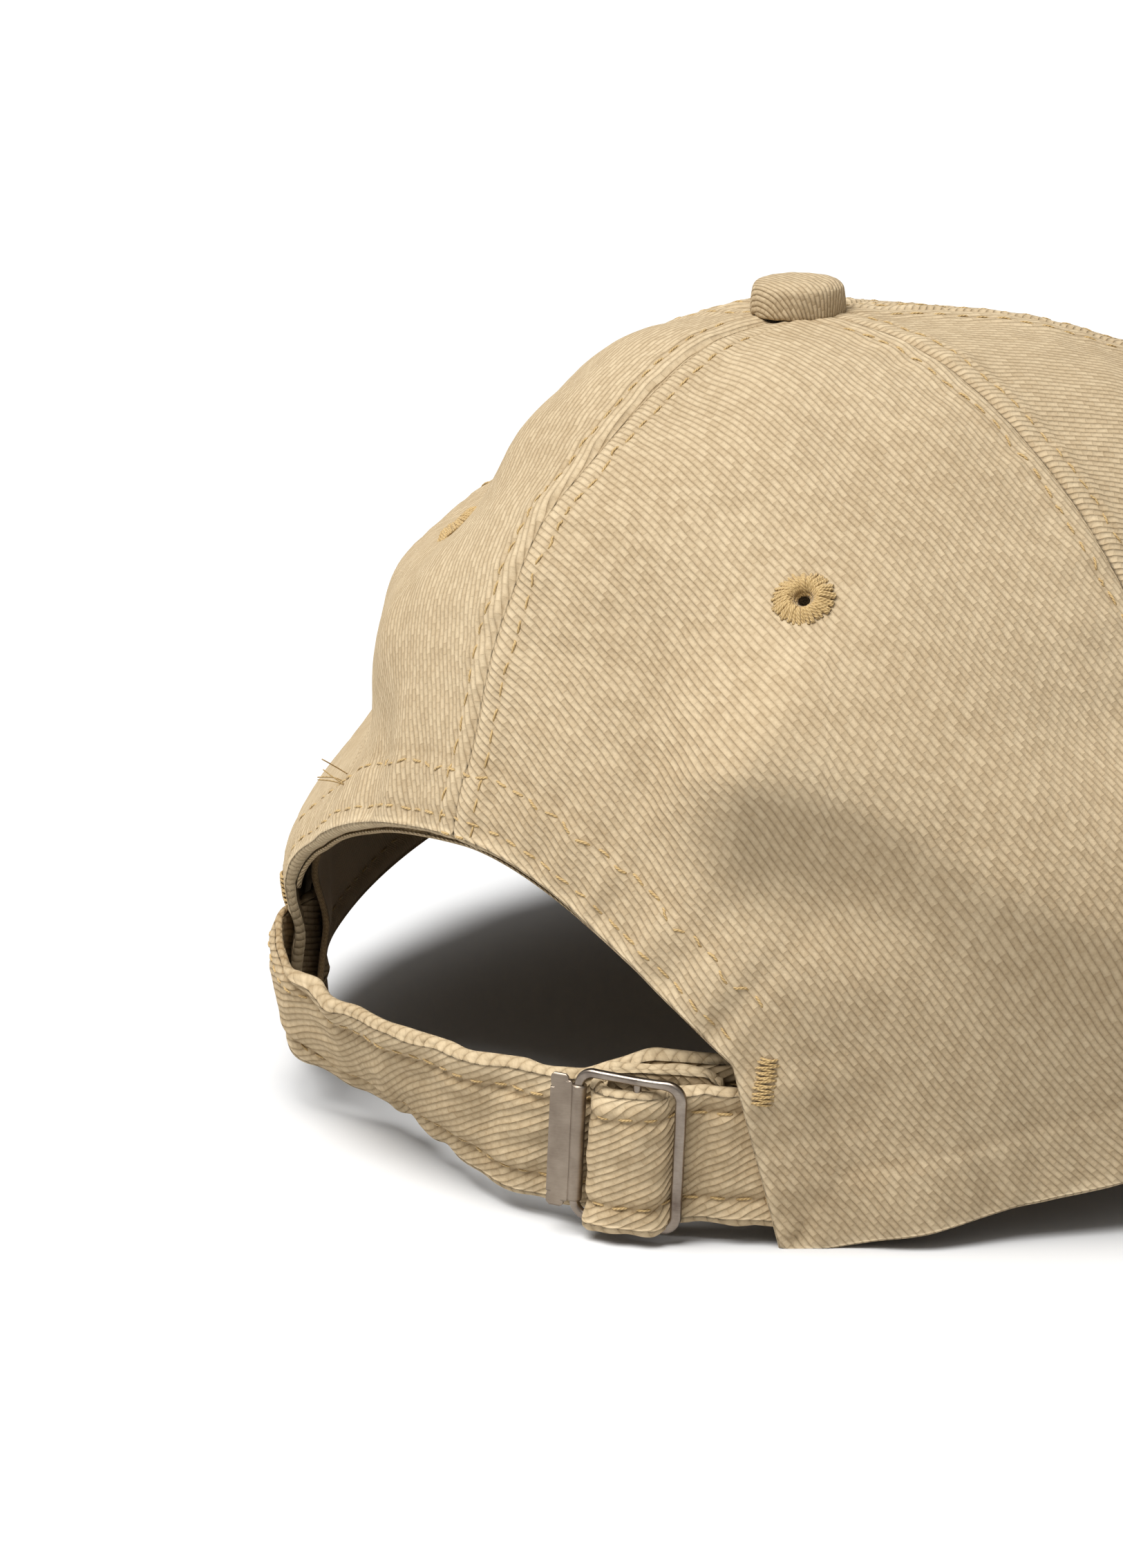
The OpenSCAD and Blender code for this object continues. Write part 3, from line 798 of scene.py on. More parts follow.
class Threads:
    """Tubes of thread that become one mesh."""

    def __init__(self, sides=6):
        self.verts, self.faces, self.uvs, self.count, self.sides = [], [], [], 0, sides

    def tube(self, line, nrm, radius, flat=1.0):
        """A closed tube along a line; nrm says which way is up on it, radius may vary."""
        line = np.asarray(line, float)
        tan = unit(np.gradient(line, axis=0))
        side = unit(np.cross(nrm, tan))
        up = np.cross(tan, side)
        n = len(line)
        a = np.linspace(0, 2 * np.pi, self.sides, endpoint=False)
        r = np.broadcast_to(radius, (n,))[:, None, None]
        ring = (side[:, None] * np.cos(a)[None, :, None]
                + up[:, None] * np.sin(a)[None, :, None] * flat)
        v = line[:, None] + ring * r
        self.verts.append(v.reshape(-1, 3))
        run = run_length(line)
        self.uvs.append(np.stack([np.repeat(run, self.sides) + self.count * 0.13,
                                  np.tile(a * 0.3, n)], -1))
        self.faces += tube_faces(n, self.sides, self.count)
        self.count += n * self.sides

    def stitches(self, line, nrm, pitch=2.7, length=2.0):
        """A row of machine stitches: each rises from the cloth and dips back into it."""
        run = run_length(line)
        s = 0.4
        while s + length < run[-1]:
            size = length * RNG.uniform(0.85, 1.08)
            at = s + np.linspace(0, size, 5)
            pts = np.stack([np.interp(at, run, line[:, k]) for k in range(3)], -1)
            up = unit(np.stack([np.interp(at, run, nrm[:, k]) for k in range(3)], -1))
            side = np.cross(up, unit(np.gradient(pts, axis=0)))
            lift = np.array([-0.18, 0.04, 0.09, 0.04, -0.18])[:, None]
            skew = np.linspace(-0.5, 0.5, 5)[:, None] * RNG.normal(0, 0.22)
            self.tube(pts + up * lift + side * skew, up, THREAD_R * RNG.uniform(0.85, 1.1), 0.85)
            s += pitch * RNG.uniform(0.93, 1.07)

    def make(self, name, mat):
        verts = np.concatenate(self.verts)
        verts[:, 2] = np.maximum(verts[:, 2], FLOOR_ROOM)
        return make(name, verts, self.faces, mat, np.concatenate(self.uvs))


def offset_line(line, dist):
    """The line moved sideways along the crown; + is to the left of its direction."""
    tan = unit(np.gradient(line, axis=0))
    _, nrm = snap(CROWN, line)
    return line + unit(np.cross(nrm, tan)) * dist


def row_beside(line, dist, threads):
    """A row of stitches on the crown, at a distance from a line on it."""
    threads.stitches(*snap(CROWN, resample(offset_line(line, dist), 0.9)))


ROW_SEAM, ROW_EDGE, ROW_FACING = 2.9, 2.0, 7.4


def arch_line(n=500):
    """The opening's edge, from the wearer's right to the left."""
    p = np.linspace(TURN - OPEN_RIGHT, TURN + OPEN_LEFT, n)
    return face_points(p, climb(p, arch(p)))


def build_topstitch():
    """The twin rows beside every seam, the rows round the arch, and a few loose ends."""
    th = Threads()
    for p in SEAMS.values():
        line = seam_line(p)[:-12]
        for side in (-1, 1):
            row_beside(line[20:] if p == TURN else line, side * ROW_SEAM, th)
    line = arch_line()
    for dist in (ROW_EDGE, ROW_FACING):
        row_beside(line[6:-6], -dist, th)
    at, nrm = snap(CROWN, at_height(np.array([31.0, 33.0, 34.5, 35.5]), 42.0))
    for k in range(4):
        s = np.linspace(0, 1, 9)[:, None]
        drift = RNG.normal(0, 0.8, 3) + [0.6, 0, 0.7]
        pts = at[k] + nrm[k] * s * RNG.uniform(1.4, 2.6) + drift * s ** 2
        th.tube(pts, np.tile([0.3, 0.2, 0.93], (9, 1)), 0.08)
    declare(th.make("topstitch", THREAD))


def build_eyelets():
    """Six worked eyelets: satin stitches radiate over a raised ring round an open hole."""
    th = Threads(7)
    for name in PANELS:
        p, t = eyelet_place(name)
        c = face_points(np.array(p, float), np.array(t, float))
        c, n = (x.reshape(3) for x in snap(CROWN, c[None]))
        e1, e2 = plane_axes(n)
        a = np.linspace(0, 2 * np.pi, 49)
        ring = np.cos(a)[:, None] * e1 + np.sin(a)[:, None] * e2
        th.tube(c + ring * 2.1 - n * 0.1, np.tile(n, (49, 1)), 1.1, 0.6)
        count = 66
        for k in range(count):
            ang = 2 * np.pi * (k + RNG.uniform(-0.3, 0.3)) / count
            twist = RNG.normal(0, 0.06) + 0.1
            f = np.linspace(0, 1, 9)
            rad = mix(0.8, EYELET_R * RNG.uniform(0.96, 1.06), f)
            aa = ang + twist * f
            high = (-0.6 + (1.3 + RNG.normal(0, 0.07)) * smooth(f / 0.4)
                    - 0.75 * smooth((f - 0.4) / 0.6))
            pts = (c + np.cos(aa)[:, None] * e1 * rad[:, None]
                   + np.sin(aa)[:, None] * e2 * rad[:, None] + n * high[:, None])
            th.tube(pts, np.tile(n, (9, 1)), 0.2 * RNG.uniform(0.85, 1.2), 0.9)
    ob = th.make("eyelet_embroidery", THREAD)
    declare(ob, replaced="eyelets")


def build_bartacks():
    """A short zigzag of thread through each free end."""
    th = Threads()
    for p, lean in ((TURN - OPEN_RIGHT - 2.7, 0.12), (TURN + OPEN_LEFT + 3.0, -0.12)):
        c, n = (x.reshape(3) for x in snap(CROWN, at_height(p, END_H - 2.0)[None]))
        e1, e2 = plane_axes(n)
        for k in range(19):
            y = (k - 9) * 0.29 + RNG.normal(0, 0.05)
            w = 1.15 + RNG.normal(0, 0.12)
            side = 1 if k % 2 else -1
            f = np.linspace(-1, 1, 5)
            pts = np.array([c + e1 * (w * x + lean * y) + e2 * (y + 0.17 * x * side) for x in f])
            pts, up = snap(CROWN, pts)
            th.tube(pts + up * np.array([[-0.1], [0.18], [0.26], [0.18], [-0.1]]), up, 0.17)
    ob = th.make("bartack_thread", THREAD)
    declare(ob, replaced="bartacks")


# ---- inside: tapes, facing and sweatband ----
def cloth_strip(name, grid, thick, mat, replaced, ripple=0.05):
    """A strip of cloth whose outer face is the grid."""
    nrm = grid_normals(grid)
    d = waves(len(name), 9.0)(grid) * ripple
    face = grid + nrm * d[..., None]
    back = face - nrm * thick
    ob = shell(name, face, back, mat, grid_run(grid), {"wear": 0 * d, "shade": 0 * d})
    declare(ob, replaced=replaced)


def angle_at(p, radius):
    """The angle t at which the crown is a radius away from the button's axis."""
    return np.degrees(np.arccos((radius / np.linalg.norm(hem_xy(p) - APEX)) ** (fullness(p) / 2)))


TAPE_DEPTH, TAPE_THICK, TAPE_WIDE, TAPE_TOP = 1.35, 0.5, 11.0, 12.0


def build_tapes():
    """A tape over each seam inside."""
    places = {"tape_back": "back", "tape_left_back": "left_back", "tape_right_back": "right_back",
              "tape_left_front": "left_front", "tape_right_front": "right_front",
              "tape_front": "front"}
    for node, seam in places.items():
        p = SEAMS[seam]
        low = climb(p, ARCH_TOP + 6) if seam == "back" else climb(p, 1.5)
        t = np.linspace(low, angle_at(p, TAPE_TOP), 90)
        mid = face_points(np.full(90, p), t)
        tan = unit(np.gradient(mid, axis=0))
        side = unit(np.cross(crown_normal(np.full(90, p), t), tan))
        w = np.linspace(-1, 1, 15)
        grid, _ = snap(PLAIN, mid[:, None] + side[:, None] * w[None, :, None] * TAPE_WIDE / 2)
        # the tape's middle stands off the seam between its two sewn edges
        grid = grid - grid_normals(grid) * (TAPE_DEPTH + 0.12 + 0.35 * (1 - w * w))[None, :, None]
        cloth_strip(node + "_cloth", grid, TAPE_THICK, TAPE_MAT, node)


def build_facing():
    """The strip inside the arch."""
    p = np.linspace(TURN - OPEN_RIGHT + 0.3, TURN + OPEN_LEFT - 0.3, 160)[None, :]
    h = np.linspace(-0.5, 8.4, 16)[:, None]
    z = arch(p) + h
    grid = face_points(p + 0 * z, climb(p + 0 * z, z), 1.25)
    cloth_strip("arch_facing_cloth", grid, 0.6, FACING_MAT, "arch_facing",
                0.04)


BAND_DEPTH, BAND_THICK, TUCK_ROOM = 3.3, 0.8, 1.6


def build_sweatband():
    """The band inside the hem, with its row of stitches."""
    start = TURN + OPEN_LEFT + SLANT + 1
    end = 360 + TURN - OPEN_RIGHT - SLANT - 1
    p = np.linspace(start, end, 420)[None, :]
    h = np.linspace(0, 1, 30)[:, None]
    z = mix(BAND_LOW, BAND_HIGH, h) + 0 * p
    room = TUCK_ROOM * smooth((p - end + 30) / 14)
    loose = 0.35 * waves(21, 26.0)(crown(p, climb(p, z))) * smooth(h * 2)
    depth = BAND_DEPTH + room + loose
    grid = face_points(p + 0 * z, climb(p, z), depth)
    # a rolled lower edge and the stitched line above it
    groove = 0.35 * bell(z - 4.2, 0.6) - 0.4 * bell(z - 2.2, 1.2)
    grid = grid + grid_normals(grid) * groove[..., None]
    cloth_strip("sweatband_cloth", grid, BAND_THICK, BAND_MAT, "sweatband",
                0.0)
    inner = grid - grid_normals(grid) * BAND_THICK
    th = Threads(5)
    row = int(np.argmin(np.abs(z[:, 0] - 4.2)))
    th.stitches(inner[row], -grid_normals(grid)[row], pitch=3.0, length=2.2)
    declare(th.make("sweatband_stitch", THREAD))


# ---- visor: u goes across from -1 to 1, and s out from the hem in millimetres ----
VISOR_SLOPE, VISOR_SPLAY, VISOR_GAP, VISOR_RAISE, COVER = 0.1, 0.5, 0.3, 2.2, 0.8
LOW_U = 0.82
VISOR_ROWS = (5.0, 12.5, 20.0, 27.5, 35.0, 42.5, 50.0)


def reach(u):
    """How far out from the hem the visor goes, at each place across it."""
    return VISOR_LONG * np.maximum(0, 1 - np.abs(u) ** 2.4) ** 0.5


def visor_point(u, s, lift):
    """A point u across and s out, lifted off the board's middle."""
    p = 180 + u * VISOR_HALF
    e = hem_xy(p, -VISOR_GAP)
    d = unit(np.stack([VISOR_SPLAY * HALF_L * sind(p), HALF_W * cosd(p)], -1))
    q = e + d * s[..., None]
    drop = hem_rise(180 + LOW_U * VISOR_HALF) + VISOR_RAISE - BOARD / 2 - 0.1 - COVER
    droop = (drop / reach(LOW_U) - VISOR_SLOPE) / LOW_U ** 2
    z = hem_rise(p) + VISOR_RAISE - s * (VISOR_SLOPE + droop * u * u) + lift
    return np.concatenate([q, z[..., None]], -1)


def build_visor():
    """Top and under covers round the CAD's board, with rows of stitches."""
    cols, steps = ((220, 90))
    u = np.sin(np.linspace(-math.pi / 2, math.pi / 2, cols))[None, :] * 0.9995
    v = np.linspace(1, 0, steps)[:, None] ** 0.9
    far = np.maximum(0.5, reach(u))
    s = far * v
    gap = (far - s) * np.maximum(0.35, 1 - np.abs(u) ** 3)
    half = BOARD / 2 + 0.1
    # the covers close over the board's edge
    close = smooth(1 - gap / 3.2) ** 1.4
    sew = sum(0.16 * bell(gap - g, 0.5) for g in VISOR_ROWS)
    for name, sign, mat in (("visor_top", 1, TWILL["visor"]), ("visor_under", -1, TWILL["under"])):
        inner = half * (1 - 0.93 * close)
        outer = inner + COVER - 0.25 * close - sew
        ripple = 0.05 * waves(31 + sign, 11.0)(visor_point(u + 0 * v, s, 0 * s))
        a = visor_point(u + 0 * v, s, sign * (outer + ripple))
        b = visor_point(u + 0 * v, s, sign * inner)
        face, back = (a, b) if sign > 0 else (b, a)
        uv = a[..., :2] * [1, -1]
        # painted shade in the sewn grooves of the stitched rows
        shade = 0.25 * sum(bell(gap - g, 0.4) for g in VISOR_ROWS)
        ob = shell(name + "_cloth", face, back, mat, uv,
                   {"wear": 0.6 * np.exp(-gap / 1.5), "shade": shade})
        declare(ob, replaced=name)
        th = Threads(5)
        tree = surface(a.reshape(-1, 3), grid_faces(*a.shape[:2], 0, sign > 0))
        for g in VISOR_ROWS:
            uu = np.linspace(-0.985, 0.985, 400)
            ss = reach(uu) - g / np.maximum(0.35, 1 - np.abs(uu) ** 3)
            uu, ss = uu[ss > 3], ss[ss > 3]
            line = visor_point(uu, ss, np.full(len(uu), sign * (half + COVER)))
            at, nrm = snap(tree, resample(line, 1.2))
            nrm = nrm * np.sign(nrm[:, 2:] * sign)
            th.stitches(at, nrm, pitch=3.2, length=2.4)
        declare(th.make(name + "_stitch", THREAD))


# ---- button ----
BUTTON_UP, BUTTON_TALL = 0.9, 4.3


def build_button():
    """Cloth pulled over a shallow metal shell: upright sides and a low dome."""
    m, n = 40, 120
    f = np.linspace(0, 1, m)
    a = np.linspace(0, 2 * np.pi, n, endpoint=False)
    ang = (f * 1.08) * np.pi / 2
    rad = BUTTON_R * 0.985 * np.sin(np.minimum(ang, np.pi / 2)) ** 0.45
    rad = np.where(ang > np.pi / 2, BUTTON_R * (0.985 - 0.5 * (ang - np.pi / 2)), rad)
    high = BUTTON_TALL * (np.maximum(0, np.cos(ang)) ** 0.62)
    high = 0.42 * BUTTON_TALL + 0.58 * high - 0.42 * BUTTON_TALL * smooth((f - 0.62) / 0.38)
    c, s = np.cos(a), np.sin(a)
    pts = np.stack([rad[:, None] * c, rad[:, None] * s, high[:, None] + 0 * c], -1)
    gather = 0.10 * np.sin(9 * a + 1) + 0.07 * np.sin(23 * a) + 0.05 * np.sin(41 * a + 2)
    pts[..., :2] *= (1 + 0.10 * gather * smooth((f - 0.5) / 0.5)[:, None])[..., None]
    pts = pts + 0.05 * waves(77, 3.0)(pts)[..., None] * [0, 0, 1]
    pts = pts + [*APEX, TOP + BUTTON_UP - 1.3]
    verts = np.concatenate([pts.reshape(-1, 3), [pts[0].mean(0)]])
    i, j = np.meshgrid(np.arange(m - 1), np.arange(n), indexing="ij")
    k = (j + 1) % n
    q = np.stack([i * n + j, (i + 1) * n + j, (i + 1) * n + k, i * n + k], -1).reshape(-1, 4)
    faces = q.tolist() + [[m * n, x, (x + 1) % n] for x in range(n)]
    flat = np.linalg.norm(verts[:, :2] - APEX, axis=-1) + (verts[:, 2].max() - verts[:, 2])
    ang = np.arctan2(verts[:, 1] - APEX[1], verts[:, 0] - APEX[0])
    uv = np.stack([flat * np.cos(ang), flat * np.sin(ang)], -1)
    zero = np.zeros(len(verts))
    ob = make("button_cloth", verts, faces, TWILL["button"], uv,
              attrs={"wear": zero, "shade": zero})
    declare(ob, replaced="button_cover")


# ---- straps ----
STRAP_THICK, SHORT_THICK, STRAP_MID, ROW_STRAP = 1.6, 1.3, 2.0, 2.3


def ribbon(name, mid, thick, mat, replaced, seed, threads):
    """A folded strap round its middle surface, with its two stitched rows."""
    nrm = grid_normals(mid)
    uv = grid_run(mid) * [-1, 1]
    h = uv[..., 1]
    wide = h[-1].mean()

    def both(inset, width):
        """A ridge of the given width, as far in from the lower edge as from the upper."""
        return bell(h - inset, width) + bell(wide - inset - h, width)
    relief = 0.12 * waves(seed, 5.0)(np.concatenate([uv, 0 * uv[..., :1]], -1))
    relief = relief - 0.42 * both(ROW_STRAP, 0.55)
    rolled = 0.16 * both(0, 1.2)
    face = mid + nrm * (thick / 2 + relief + rolled)[..., None]
    back = mid - nrm * (thick / 2 + 0.4 * relief + rolled)[..., None]
    # painted shade in the grooves of the two stitched rows; the lighter edges are wear
    ob = shell(name, face, back, mat, uv,
               {"wear": 0.6 * both(0, 0.8), "shade": 0.5 * both(ROW_STRAP, 0.4)},
               bulge=1.1, rings=4)
    declare(ob, replaced=replaced)
    tree = surface(face.reshape(-1, 3), grid_faces(*face.shape[:2], 0, True))
    for frac in (ROW_STRAP / wide, 1 - ROW_STRAP / wide):
        x = frac * (mid.shape[0] - 1)
        k = int(x)
        line = mix(face[k], face[min(k + 1, len(face) - 1)], x - k)
        at, up = snap(tree, resample(line, 0.8))
        threads.stitches(at, up, pitch=2.9, length=2.1)


def strap_twist(p):
    """How far the long strap has turned its lower edge in, from 0 at the buckle to 1."""
    return smooth((p + 7) / 25) * (1 - 0.8 * smooth((p - 20) / 17))


def long_strap_mid():
    """From inside the left free end, through the buckle, to behind the right one."""
    m, n = ((44, 460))
    p = np.linspace(TURN - OPEN_RIGHT - 5, TURN + OPEN_LEFT + SLANT + 6, n)[None, :]
    h = np.linspace(0, 1, m)[:, None]
    k = strap_twist(p)
    tail = smooth((BUCKLE_P + 5.5 - p) / 7)
    depth = (STRAP_MID - 0.6 * k + 2.5 * tail - 1.6 * smooth((p - 22) / 14)
             + 5.0 * smooth((p - 40) / 8))
    top = at_height(p, STRAP_HIGH + 0.2 + 3.0 * tail, depth)
    low = at_height(p, STRAP_LOW + 1.9 * k + 3.0 * tail + 3.0 * smooth((p - 22) / 12), depth)
    low = low - unit(low * [1, 1, 0]) * (8.0 * k)[..., None]
    mid = mix(low, top, h[..., None])
    belly = 0.5 * np.sin(np.pi * h) + 0.25 * np.sin(2 * np.pi * h) * k
    crease = 0.35 * waves(41, 15.0)(np.stack([p * 1.3 + 6 * h, 9 * h + 0 * p, 0 * p * h], -1))
    return mid + grid_normals(mid) * (belly * (1 - tail) + crease)[..., None]


def buckle_axes():
    """Buckle's origin and axes (x to the wearer's right, y up, z out), and degrees per mm."""
    at = strap_point(BUCKLE_P, 0.5, -FRAME_OUT)
    chord = strap_point(BUCKLE_P - 4, 0.5, 0.0) - strap_point(BUCKLE_P + 4, 0.5, 0.0)
    along = unit(chord)
    raw = strap_point(BUCKLE_P, 1.0, 0.0) - strap_point(BUCKLE_P, 0.0, 0.0)
    rise = unit(raw - along * (raw @ along))
    bx = along * cosd(BUCKLE_ROLL) - rise * sind(BUCKLE_ROLL)
    by = rise * cosd(BUCKLE_ROLL) + along * sind(BUCKLE_ROLL)
    return at, bx, by, np.cross(along, rise), 8 / np.linalg.norm(chord)


def spline(points, n):
    """A smooth curve through a few points."""
    p = np.asarray(points, float)
    t = np.linspace(0, len(p) - 1, n)
    i = np.clip(t.astype(int), 0, len(p) - 2)
    f = (t - i)[:, None]
    a, b = p[np.maximum(i - 1, 0)], p[i]
    c, d = p[i + 1], p[np.minimum(i + 2, len(p) - 1)]
    return b + 0.5 * f * ((c - a) + f * ((2 * a - 5 * b + 4 * c - d)
                                         + f * (3 * b - a - 3 * c + d)))


# middle line of the short strap in the buckle's x and z, from the loose return round the bar
SHORT_PATH = [(9.0, -4.0), (5.0, -3.9), (1.0, -3.6), (-2.4, -3.0), (-4.0, -1.9), (-4.2, -0.6),
              (-3.4, 0.55), (-1.2, 1.15), (1.4, 1.15), (3.5, 0.3), (5.0, -0.95), (7.0, -1.75),
              (11.0, -2.1), (16.0, -2.5), (21.0, -3.0), (25.0, -3.2)]


def short_strap_mid():
    """The loop round the buckle's cross bar."""
    m, n = ((44, 340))
    path = spline(SHORT_PATH, n)[::-1]
    h = np.linspace(0, 1, m)[:, None]
    x, z = path[:, 0][None, :], path[:, 1][None, :]
    hump = smooth((z + 1.2) / 1.6) * smooth((5.6 - np.abs(x)) / 1.5)
    high = STRAP_LOW - 1.1 * hump + h * (STRAP_HIGH - 0.3 - STRAP_LOW + 0.6 * hump)
    back = smooth((-1.6 - z) / 1.0) * smooth((10 - x) / 3)
    high = high + 1.6 * back
    out = z + hump * (0.75 * (0.5 - h) ** 2 * 4 * (h < 0.5) + 0.25 * np.sin(np.pi * h)
                      - 0.9 * smooth((h - 0.86) / 0.14))
    p = BUCKLE_P - (x + (h - 0.5) * 1.05) * BUCKLE_AT[4]
    straight = mix(at_height(p, STRAP_LOW), at_height(p, STRAP_HIGH),
                   ((high - STRAP_LOW) / (STRAP_HIGH - STRAP_LOW))[..., None])
    n_out = unit(straight * [1, 1, 0])
    mid = straight + n_out * (FRAME_OUT + out)[..., None]
    crease = 0.16 * waves(43, 6.0)(np.stack([x + 0 * h, 5 * h + 0 * x, 0 * x * h], -1))
    return mid + n_out * crease[..., None]


def build_straps():
    """Both straps and their stitches."""
    th = Threads(6)
    for node, mid, thick, seed in (("strap_long", long_strap_mid(), STRAP_THICK, 51),
                                   ("strap_short", short_strap_mid(), SHORT_THICK, 53)):
        ribbon(node + "_cloth", mid, thick, TWILL[node], node, seed, th)
    declare(th.make("strap_stitch", THREAD))


# ---- buckle ----
def to_world(pts):
    """From the buckle's own x, y and z."""
    at, bx, by, bz, _ = BUCKLE_AT
    return at + pts[..., :1] * bx + pts[..., 1:2] * by + pts[..., 2:3] * bz


def sweep(line, rx, rz, closed, n_side=16, power=0.75, up=(0, 0, 1)):
    """A bar along a line in the buckle's own plane, with a softened square section."""
    line = np.asarray(line, float)
    nxt, prv = np.roll(line, -1, 0), np.roll(line, 1, 0)
    if not closed:
        nxt[-1], prv[0] = line[-1], line[0]
    tan = unit(nxt - prv)
    side = unit(np.cross(np.broadcast_to(up, line.shape), tan))
    top = np.cross(tan, side)
    a = np.linspace(0, 2 * np.pi, n_side, endpoint=False)
    c = np.sign(np.cos(a)) * np.abs(np.cos(a)) ** power
    s = np.sign(np.sin(a)) * np.abs(np.sin(a)) ** power
    rx, rz = np.broadcast_to(rx, (len(line),)), np.broadcast_to(rz, (len(line),))
    v = (line[:, None] + side[:, None] * (c[None] * rx[:, None])[..., None]
         + top[:, None] * (s[None] * rz[:, None])[..., None])
    return v.reshape(-1, 3), tube_faces(len(line), n_side, closed=closed)


def metal_piece(name, parts, mat, body, node):
    """One piece from bars made in the buckle's plane."""
    verts, faces, count = [], [], 0
    for v, f in parts:
        verts.append(v)
        faces += [[x + count for x in q] for q in f]
        count += len(v)
    v = to_world(np.concatenate(verts))
    declare(make(name, v, faces, mat, v[:, :2]), body, node)


def build_buckle():
    """Cast ring with a wider right bar, its hinge bar on the left and a hidden cross bar."""
    w, h, r = (FRAME_W - BAR) / 2, (FRAME_H - BAR) / 2, 1.8
    line = []
    for cx, cy, a0 in ((w - r, h - r, 0), (-w + r, h - r, 90), (-w + r, -h + r, 180),
                       (w - r, -h + r, 270)):
        for a in np.linspace(a0, a0 + 90, 12):
            line.append((cx + r * cosd(a), cy + r * sind(a), 0.0))
    dense = []
    for k, q in enumerate(line):
        nx = line[(k + 1) % len(line)]
        steps = max(1, int(math.dist(q, nx) / 0.6))
        dense += [tuple(mix(np.array(q), np.array(nx), t / steps)) for t in range(steps)]
    ring = np.array(dense)
    ring[:, 2] = 0.22 * np.cos(ring[:, 0] / w * math.pi / 2) + 0.05 * waves(61, 6.0)(ring)
    wide = 0.50 + 0.16 * smooth((ring[:, 0] - 3.0) / 3.0) + 0.05 * smooth((-ring[:, 0] - 3.5) / 2.0)
    parts = [sweep(ring, wide, 0.52, True)]
    bar = np.stack([np.full(40, CROSS_X), np.linspace(-h, h, 40), np.zeros(40)], -1)
    parts.append(sweep(bar, 0.48, 0.48, False, power=1.0))
    metal_piece("buckle_ring", parts, METAL, "buckle", "buckle_frame")


PLATE_LONG, PLATE_TALL = 2.75, 8.1


def build_lever():
    """Sheet metal rolled round the hinge bar, with a flat finger plate and a cam inside."""
    parts = []
    y = np.linspace(-7.0, 7.0, 60)
    curl_bar = np.stack([np.full(60, HINGE_X), y, np.full(60, 0.0)], -1)
    parts.append(sweep(curl_bar, 0.86, 0.84, False, 24, 1.0))
    n = 70
    y = np.linspace(-PLATE_TALL, PLATE_TALL, n)
    ends = np.clip(1 - (np.abs(y) - (PLATE_TALL - 0.5)) / 0.5, 0, 1) ** 0.5
    # past the rolled part the plate stands off the bar, to clear the ring's corners
    notch = 0.6 * smooth((np.abs(y) - 6.6) / 0.5)
    half = PLATE_LONG / 2 - 0.35 * (1 - ends) - notch / 2
    mid = np.stack([HINGE_X - 0.55 - PLATE_LONG / 2 - notch / 2, y,
                    0.18 + 0.06 * np.cos(y / 5)], -1)
    parts.append(sweep(mid, half, 0.27 * np.maximum(ends, 0.5), False, 28, 0.42))
    cam = np.stack([np.full(20, HINGE_X), np.linspace(-5, 5, 20), np.full(20, -0.9)], -1)
    parts.append(sweep(cam, 0.42, 0.6, False, 12, 0.6))
    metal_piece("lever_plate", parts, LEVER_METAL, "lever", "clamp_lever")


def paint_frame_nodes():
    """Materials for the CAD nodes that show as they are."""
    board, dull = board_plastic("visor_board"), satin_metal(
        "button_metal", srgb(190, 188, 182), srgb(120, 118, 112), 0.45)
    for node, mat in (("visor_board", board), ("button_shell", dull), ("button_rivet", dull)):
        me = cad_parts[node].data
        me.materials.clear()
        me.materials.append(mat)


# ---- camera and light ----
# seen from behind and the wearer's right: degrees, metres away, and what it looks at
CAMERA_AZ, CAMERA_EL, CAMERA_FAR, LENS = 38.1, 15.4, 0.8, 149.95
LOOK_HIGH, LOOK_AT = 60.0, (-46.35, -28.3)


def aim():
    """Make the camera; gives its level direction to the right and the way it looks."""
    az, el = math.radians(CAMERA_AZ), math.radians(CAMERA_EL)
    f = Vector((math.sin(az) * math.cos(el), -math.cos(az) * math.cos(el), -math.sin(el)))
    r = Vector((-math.cos(az), -math.sin(az), 0))
    u = r.cross(f)
    across, up = LOOK_AT
    target = Vector((0, 0, LOOK_HIGH * MM)) + r * (across * MM) + u * (up * MM)
    cam = bpy.data.cameras.new("camera")
    cam.lens = LENS
    cam.clip_start, cam.clip_end = 0.05, 50
    ob = place("camera", cam)
    eye = target - f * CAMERA_FAR
    ob.matrix_world = Matrix(((r.x, u.x, -f.x, eye.x), (r.y, u.y, -f.y, eye.y),
                              (r.z, u.z, -f.z, eye.z), (0, 0, 0, 1)))
    bpy.context.scene.camera = ob
    return r, f


# the key comes from this far right (+), away (+) and up, as the camera sees it
KEY_FROM = (-0.5, -0.42, 1.3)
KEY_POWER, WORLD_POWER = 3.9, 0.38
KEY_ANGLE = 46
FLOOR_PALE, FLOOR_HALF = 0.62, 6.0


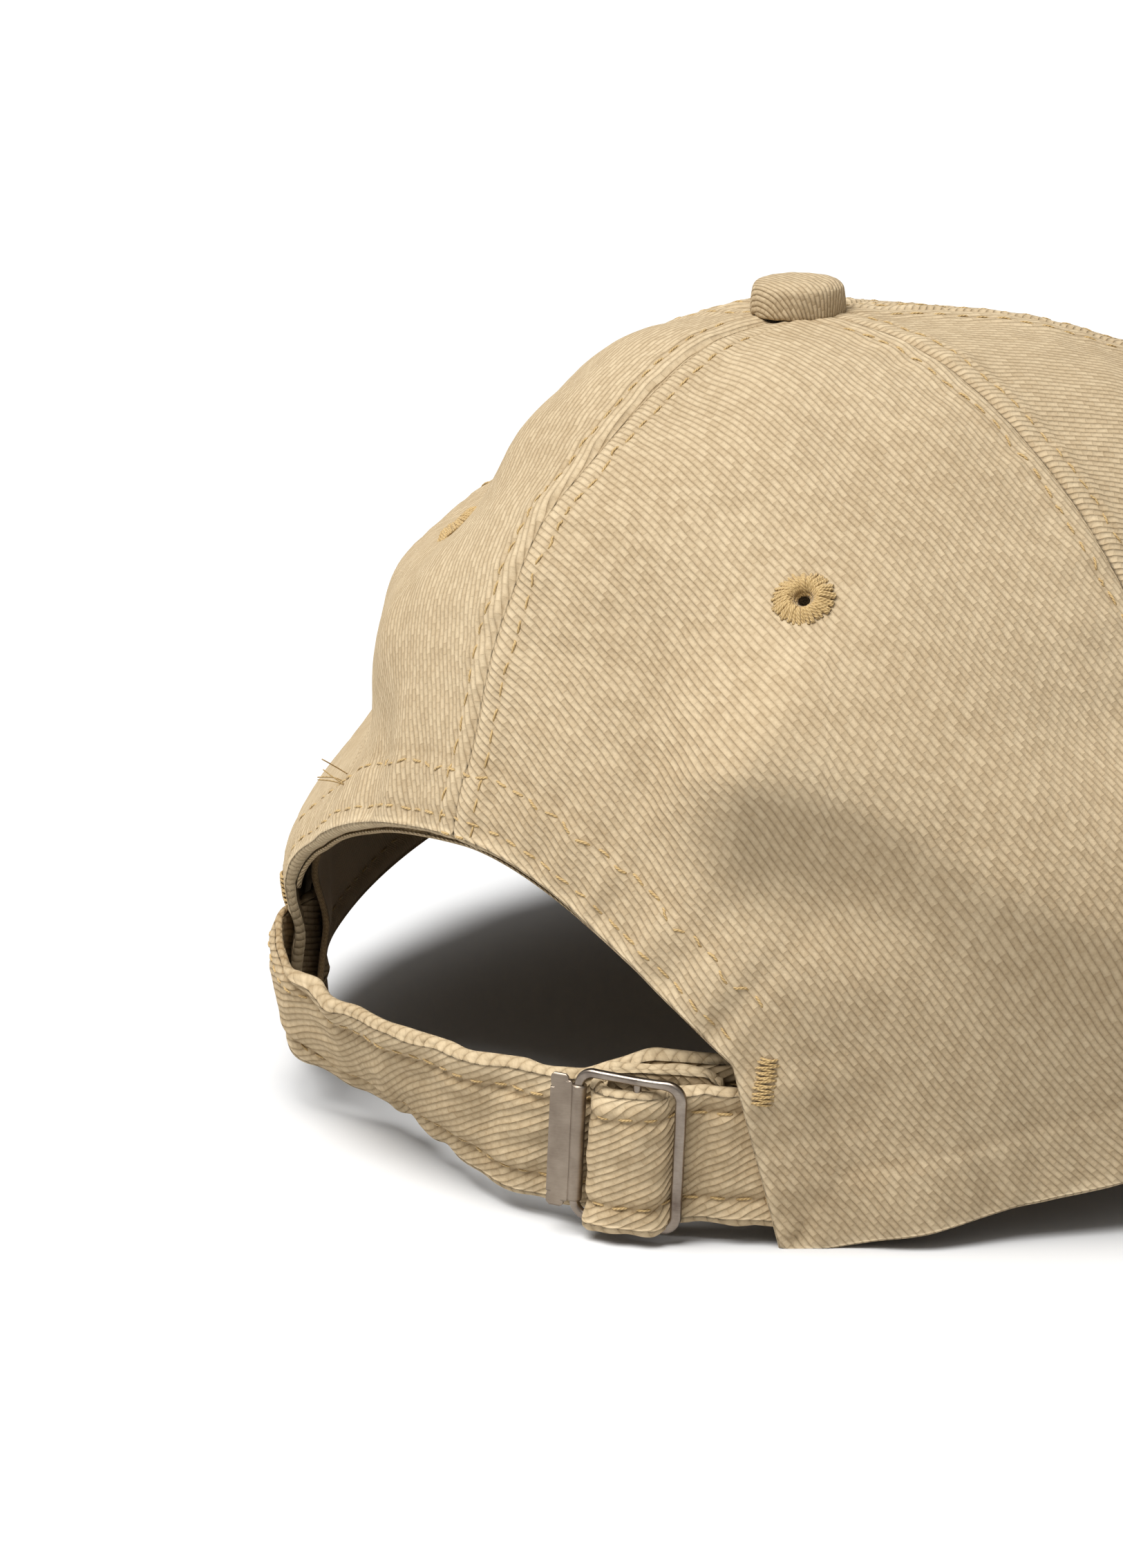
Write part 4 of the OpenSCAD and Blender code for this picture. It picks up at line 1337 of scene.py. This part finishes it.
def stage(r, f):
    """Pale floor, even white surroundings and one broad soft key."""
    me = bpy.data.meshes.new("floor")
    s = FLOOR_HALF
    me.from_pydata([(-s, -s, 0), (s, -s, 0), (s, s, 0), (-s, s, 0)], [], [(0, 1, 2, 3)])
    m = Nodes("floor")
    m.bsdf.inputs["Base Color"].default_value = (FLOOR_PALE, FLOOR_PALE, FLOOR_PALE, 1)
    m.bsdf.inputs["Roughness"].default_value = 0.9
    m.bsdf.inputs["Specular IOR Level"].default_value = 0.1
    me.materials.append(m.mat)
    place("floor", me)
    world = bpy.data.worlds.new("studio")
    world.use_nodes = True
    bg = world.node_tree.nodes["Background"]
    bg.inputs[0].default_value = (1, 1, 1, 1)
    bg.inputs[1].default_value = WORLD_POWER
    bpy.context.scene.world = world
    sun = bpy.data.lights.new("key", "SUN")
    sun.energy = KEY_POWER
    sun.angle = math.radians(KEY_ANGLE)
    toward = Vector(KEY_FROM[0] * r + KEY_FROM[1] * f) + Vector((0, 0, KEY_FROM[2]))
    place("key", sun).rotation_euler = toward.to_track_quat("Z", "Y").to_euler()
    view = bpy.context.scene.view_settings
    view.view_transform = "Standard"
    view.look = "Medium High Contrast"


THREAD = thread("stitching", srgb(204, 178, 130), srgb(146, 119, 76))
METAL = satin_metal("frame_metal", srgb(176, 166, 154), srgb(104, 92, 84), 0.3)
LEVER_METAL = satin_metal("lever_metal", srgb(172, 160, 146), srgb(128, 116, 104), 0.46)
TWILL.update({
    "crown": twill("crown_twill", BEIGE_L, BEIGE_D, 142),
    "visor": twill("visor_twill", BEIGE_L, BEIGE_D, 50),
    "under": twill("under_twill", BEIGE_L, BEIGE_D, 130),
    "button": twill("button_twill", BEIGE_L, BEIGE_D, 70, 0.7),
    "strap_long": twill("long_strap_twill", STRAP_L, STRAP_D, 116, 0.78, 1.6),
    "strap_short": twill("short_strap_twill", STRAP_L, STRAP_D, 120, 0.78, 1.6)})
TAPE_MAT = plain_cloth("tape_weave", srgb(162, 143, 114), srgb(109, 92, 67))
FACING_MAT = twill("facing_twill", STRAP_L, STRAP_D, 20)
BAND_MAT = plain_cloth("band_weave", srgb(176, 152, 118), srgb(118, 98, 72), 0.5)
BUCKLE_AT = buckle_axes()

stage(*aim())
CROWN, PLAIN = build_panels()
for build in (build_topstitch, build_eyelets, build_bartacks, build_tapes, build_facing,
              build_sweatband, build_visor, build_button, build_straps, build_buckle,
              build_lever, paint_frame_nodes):
    build()
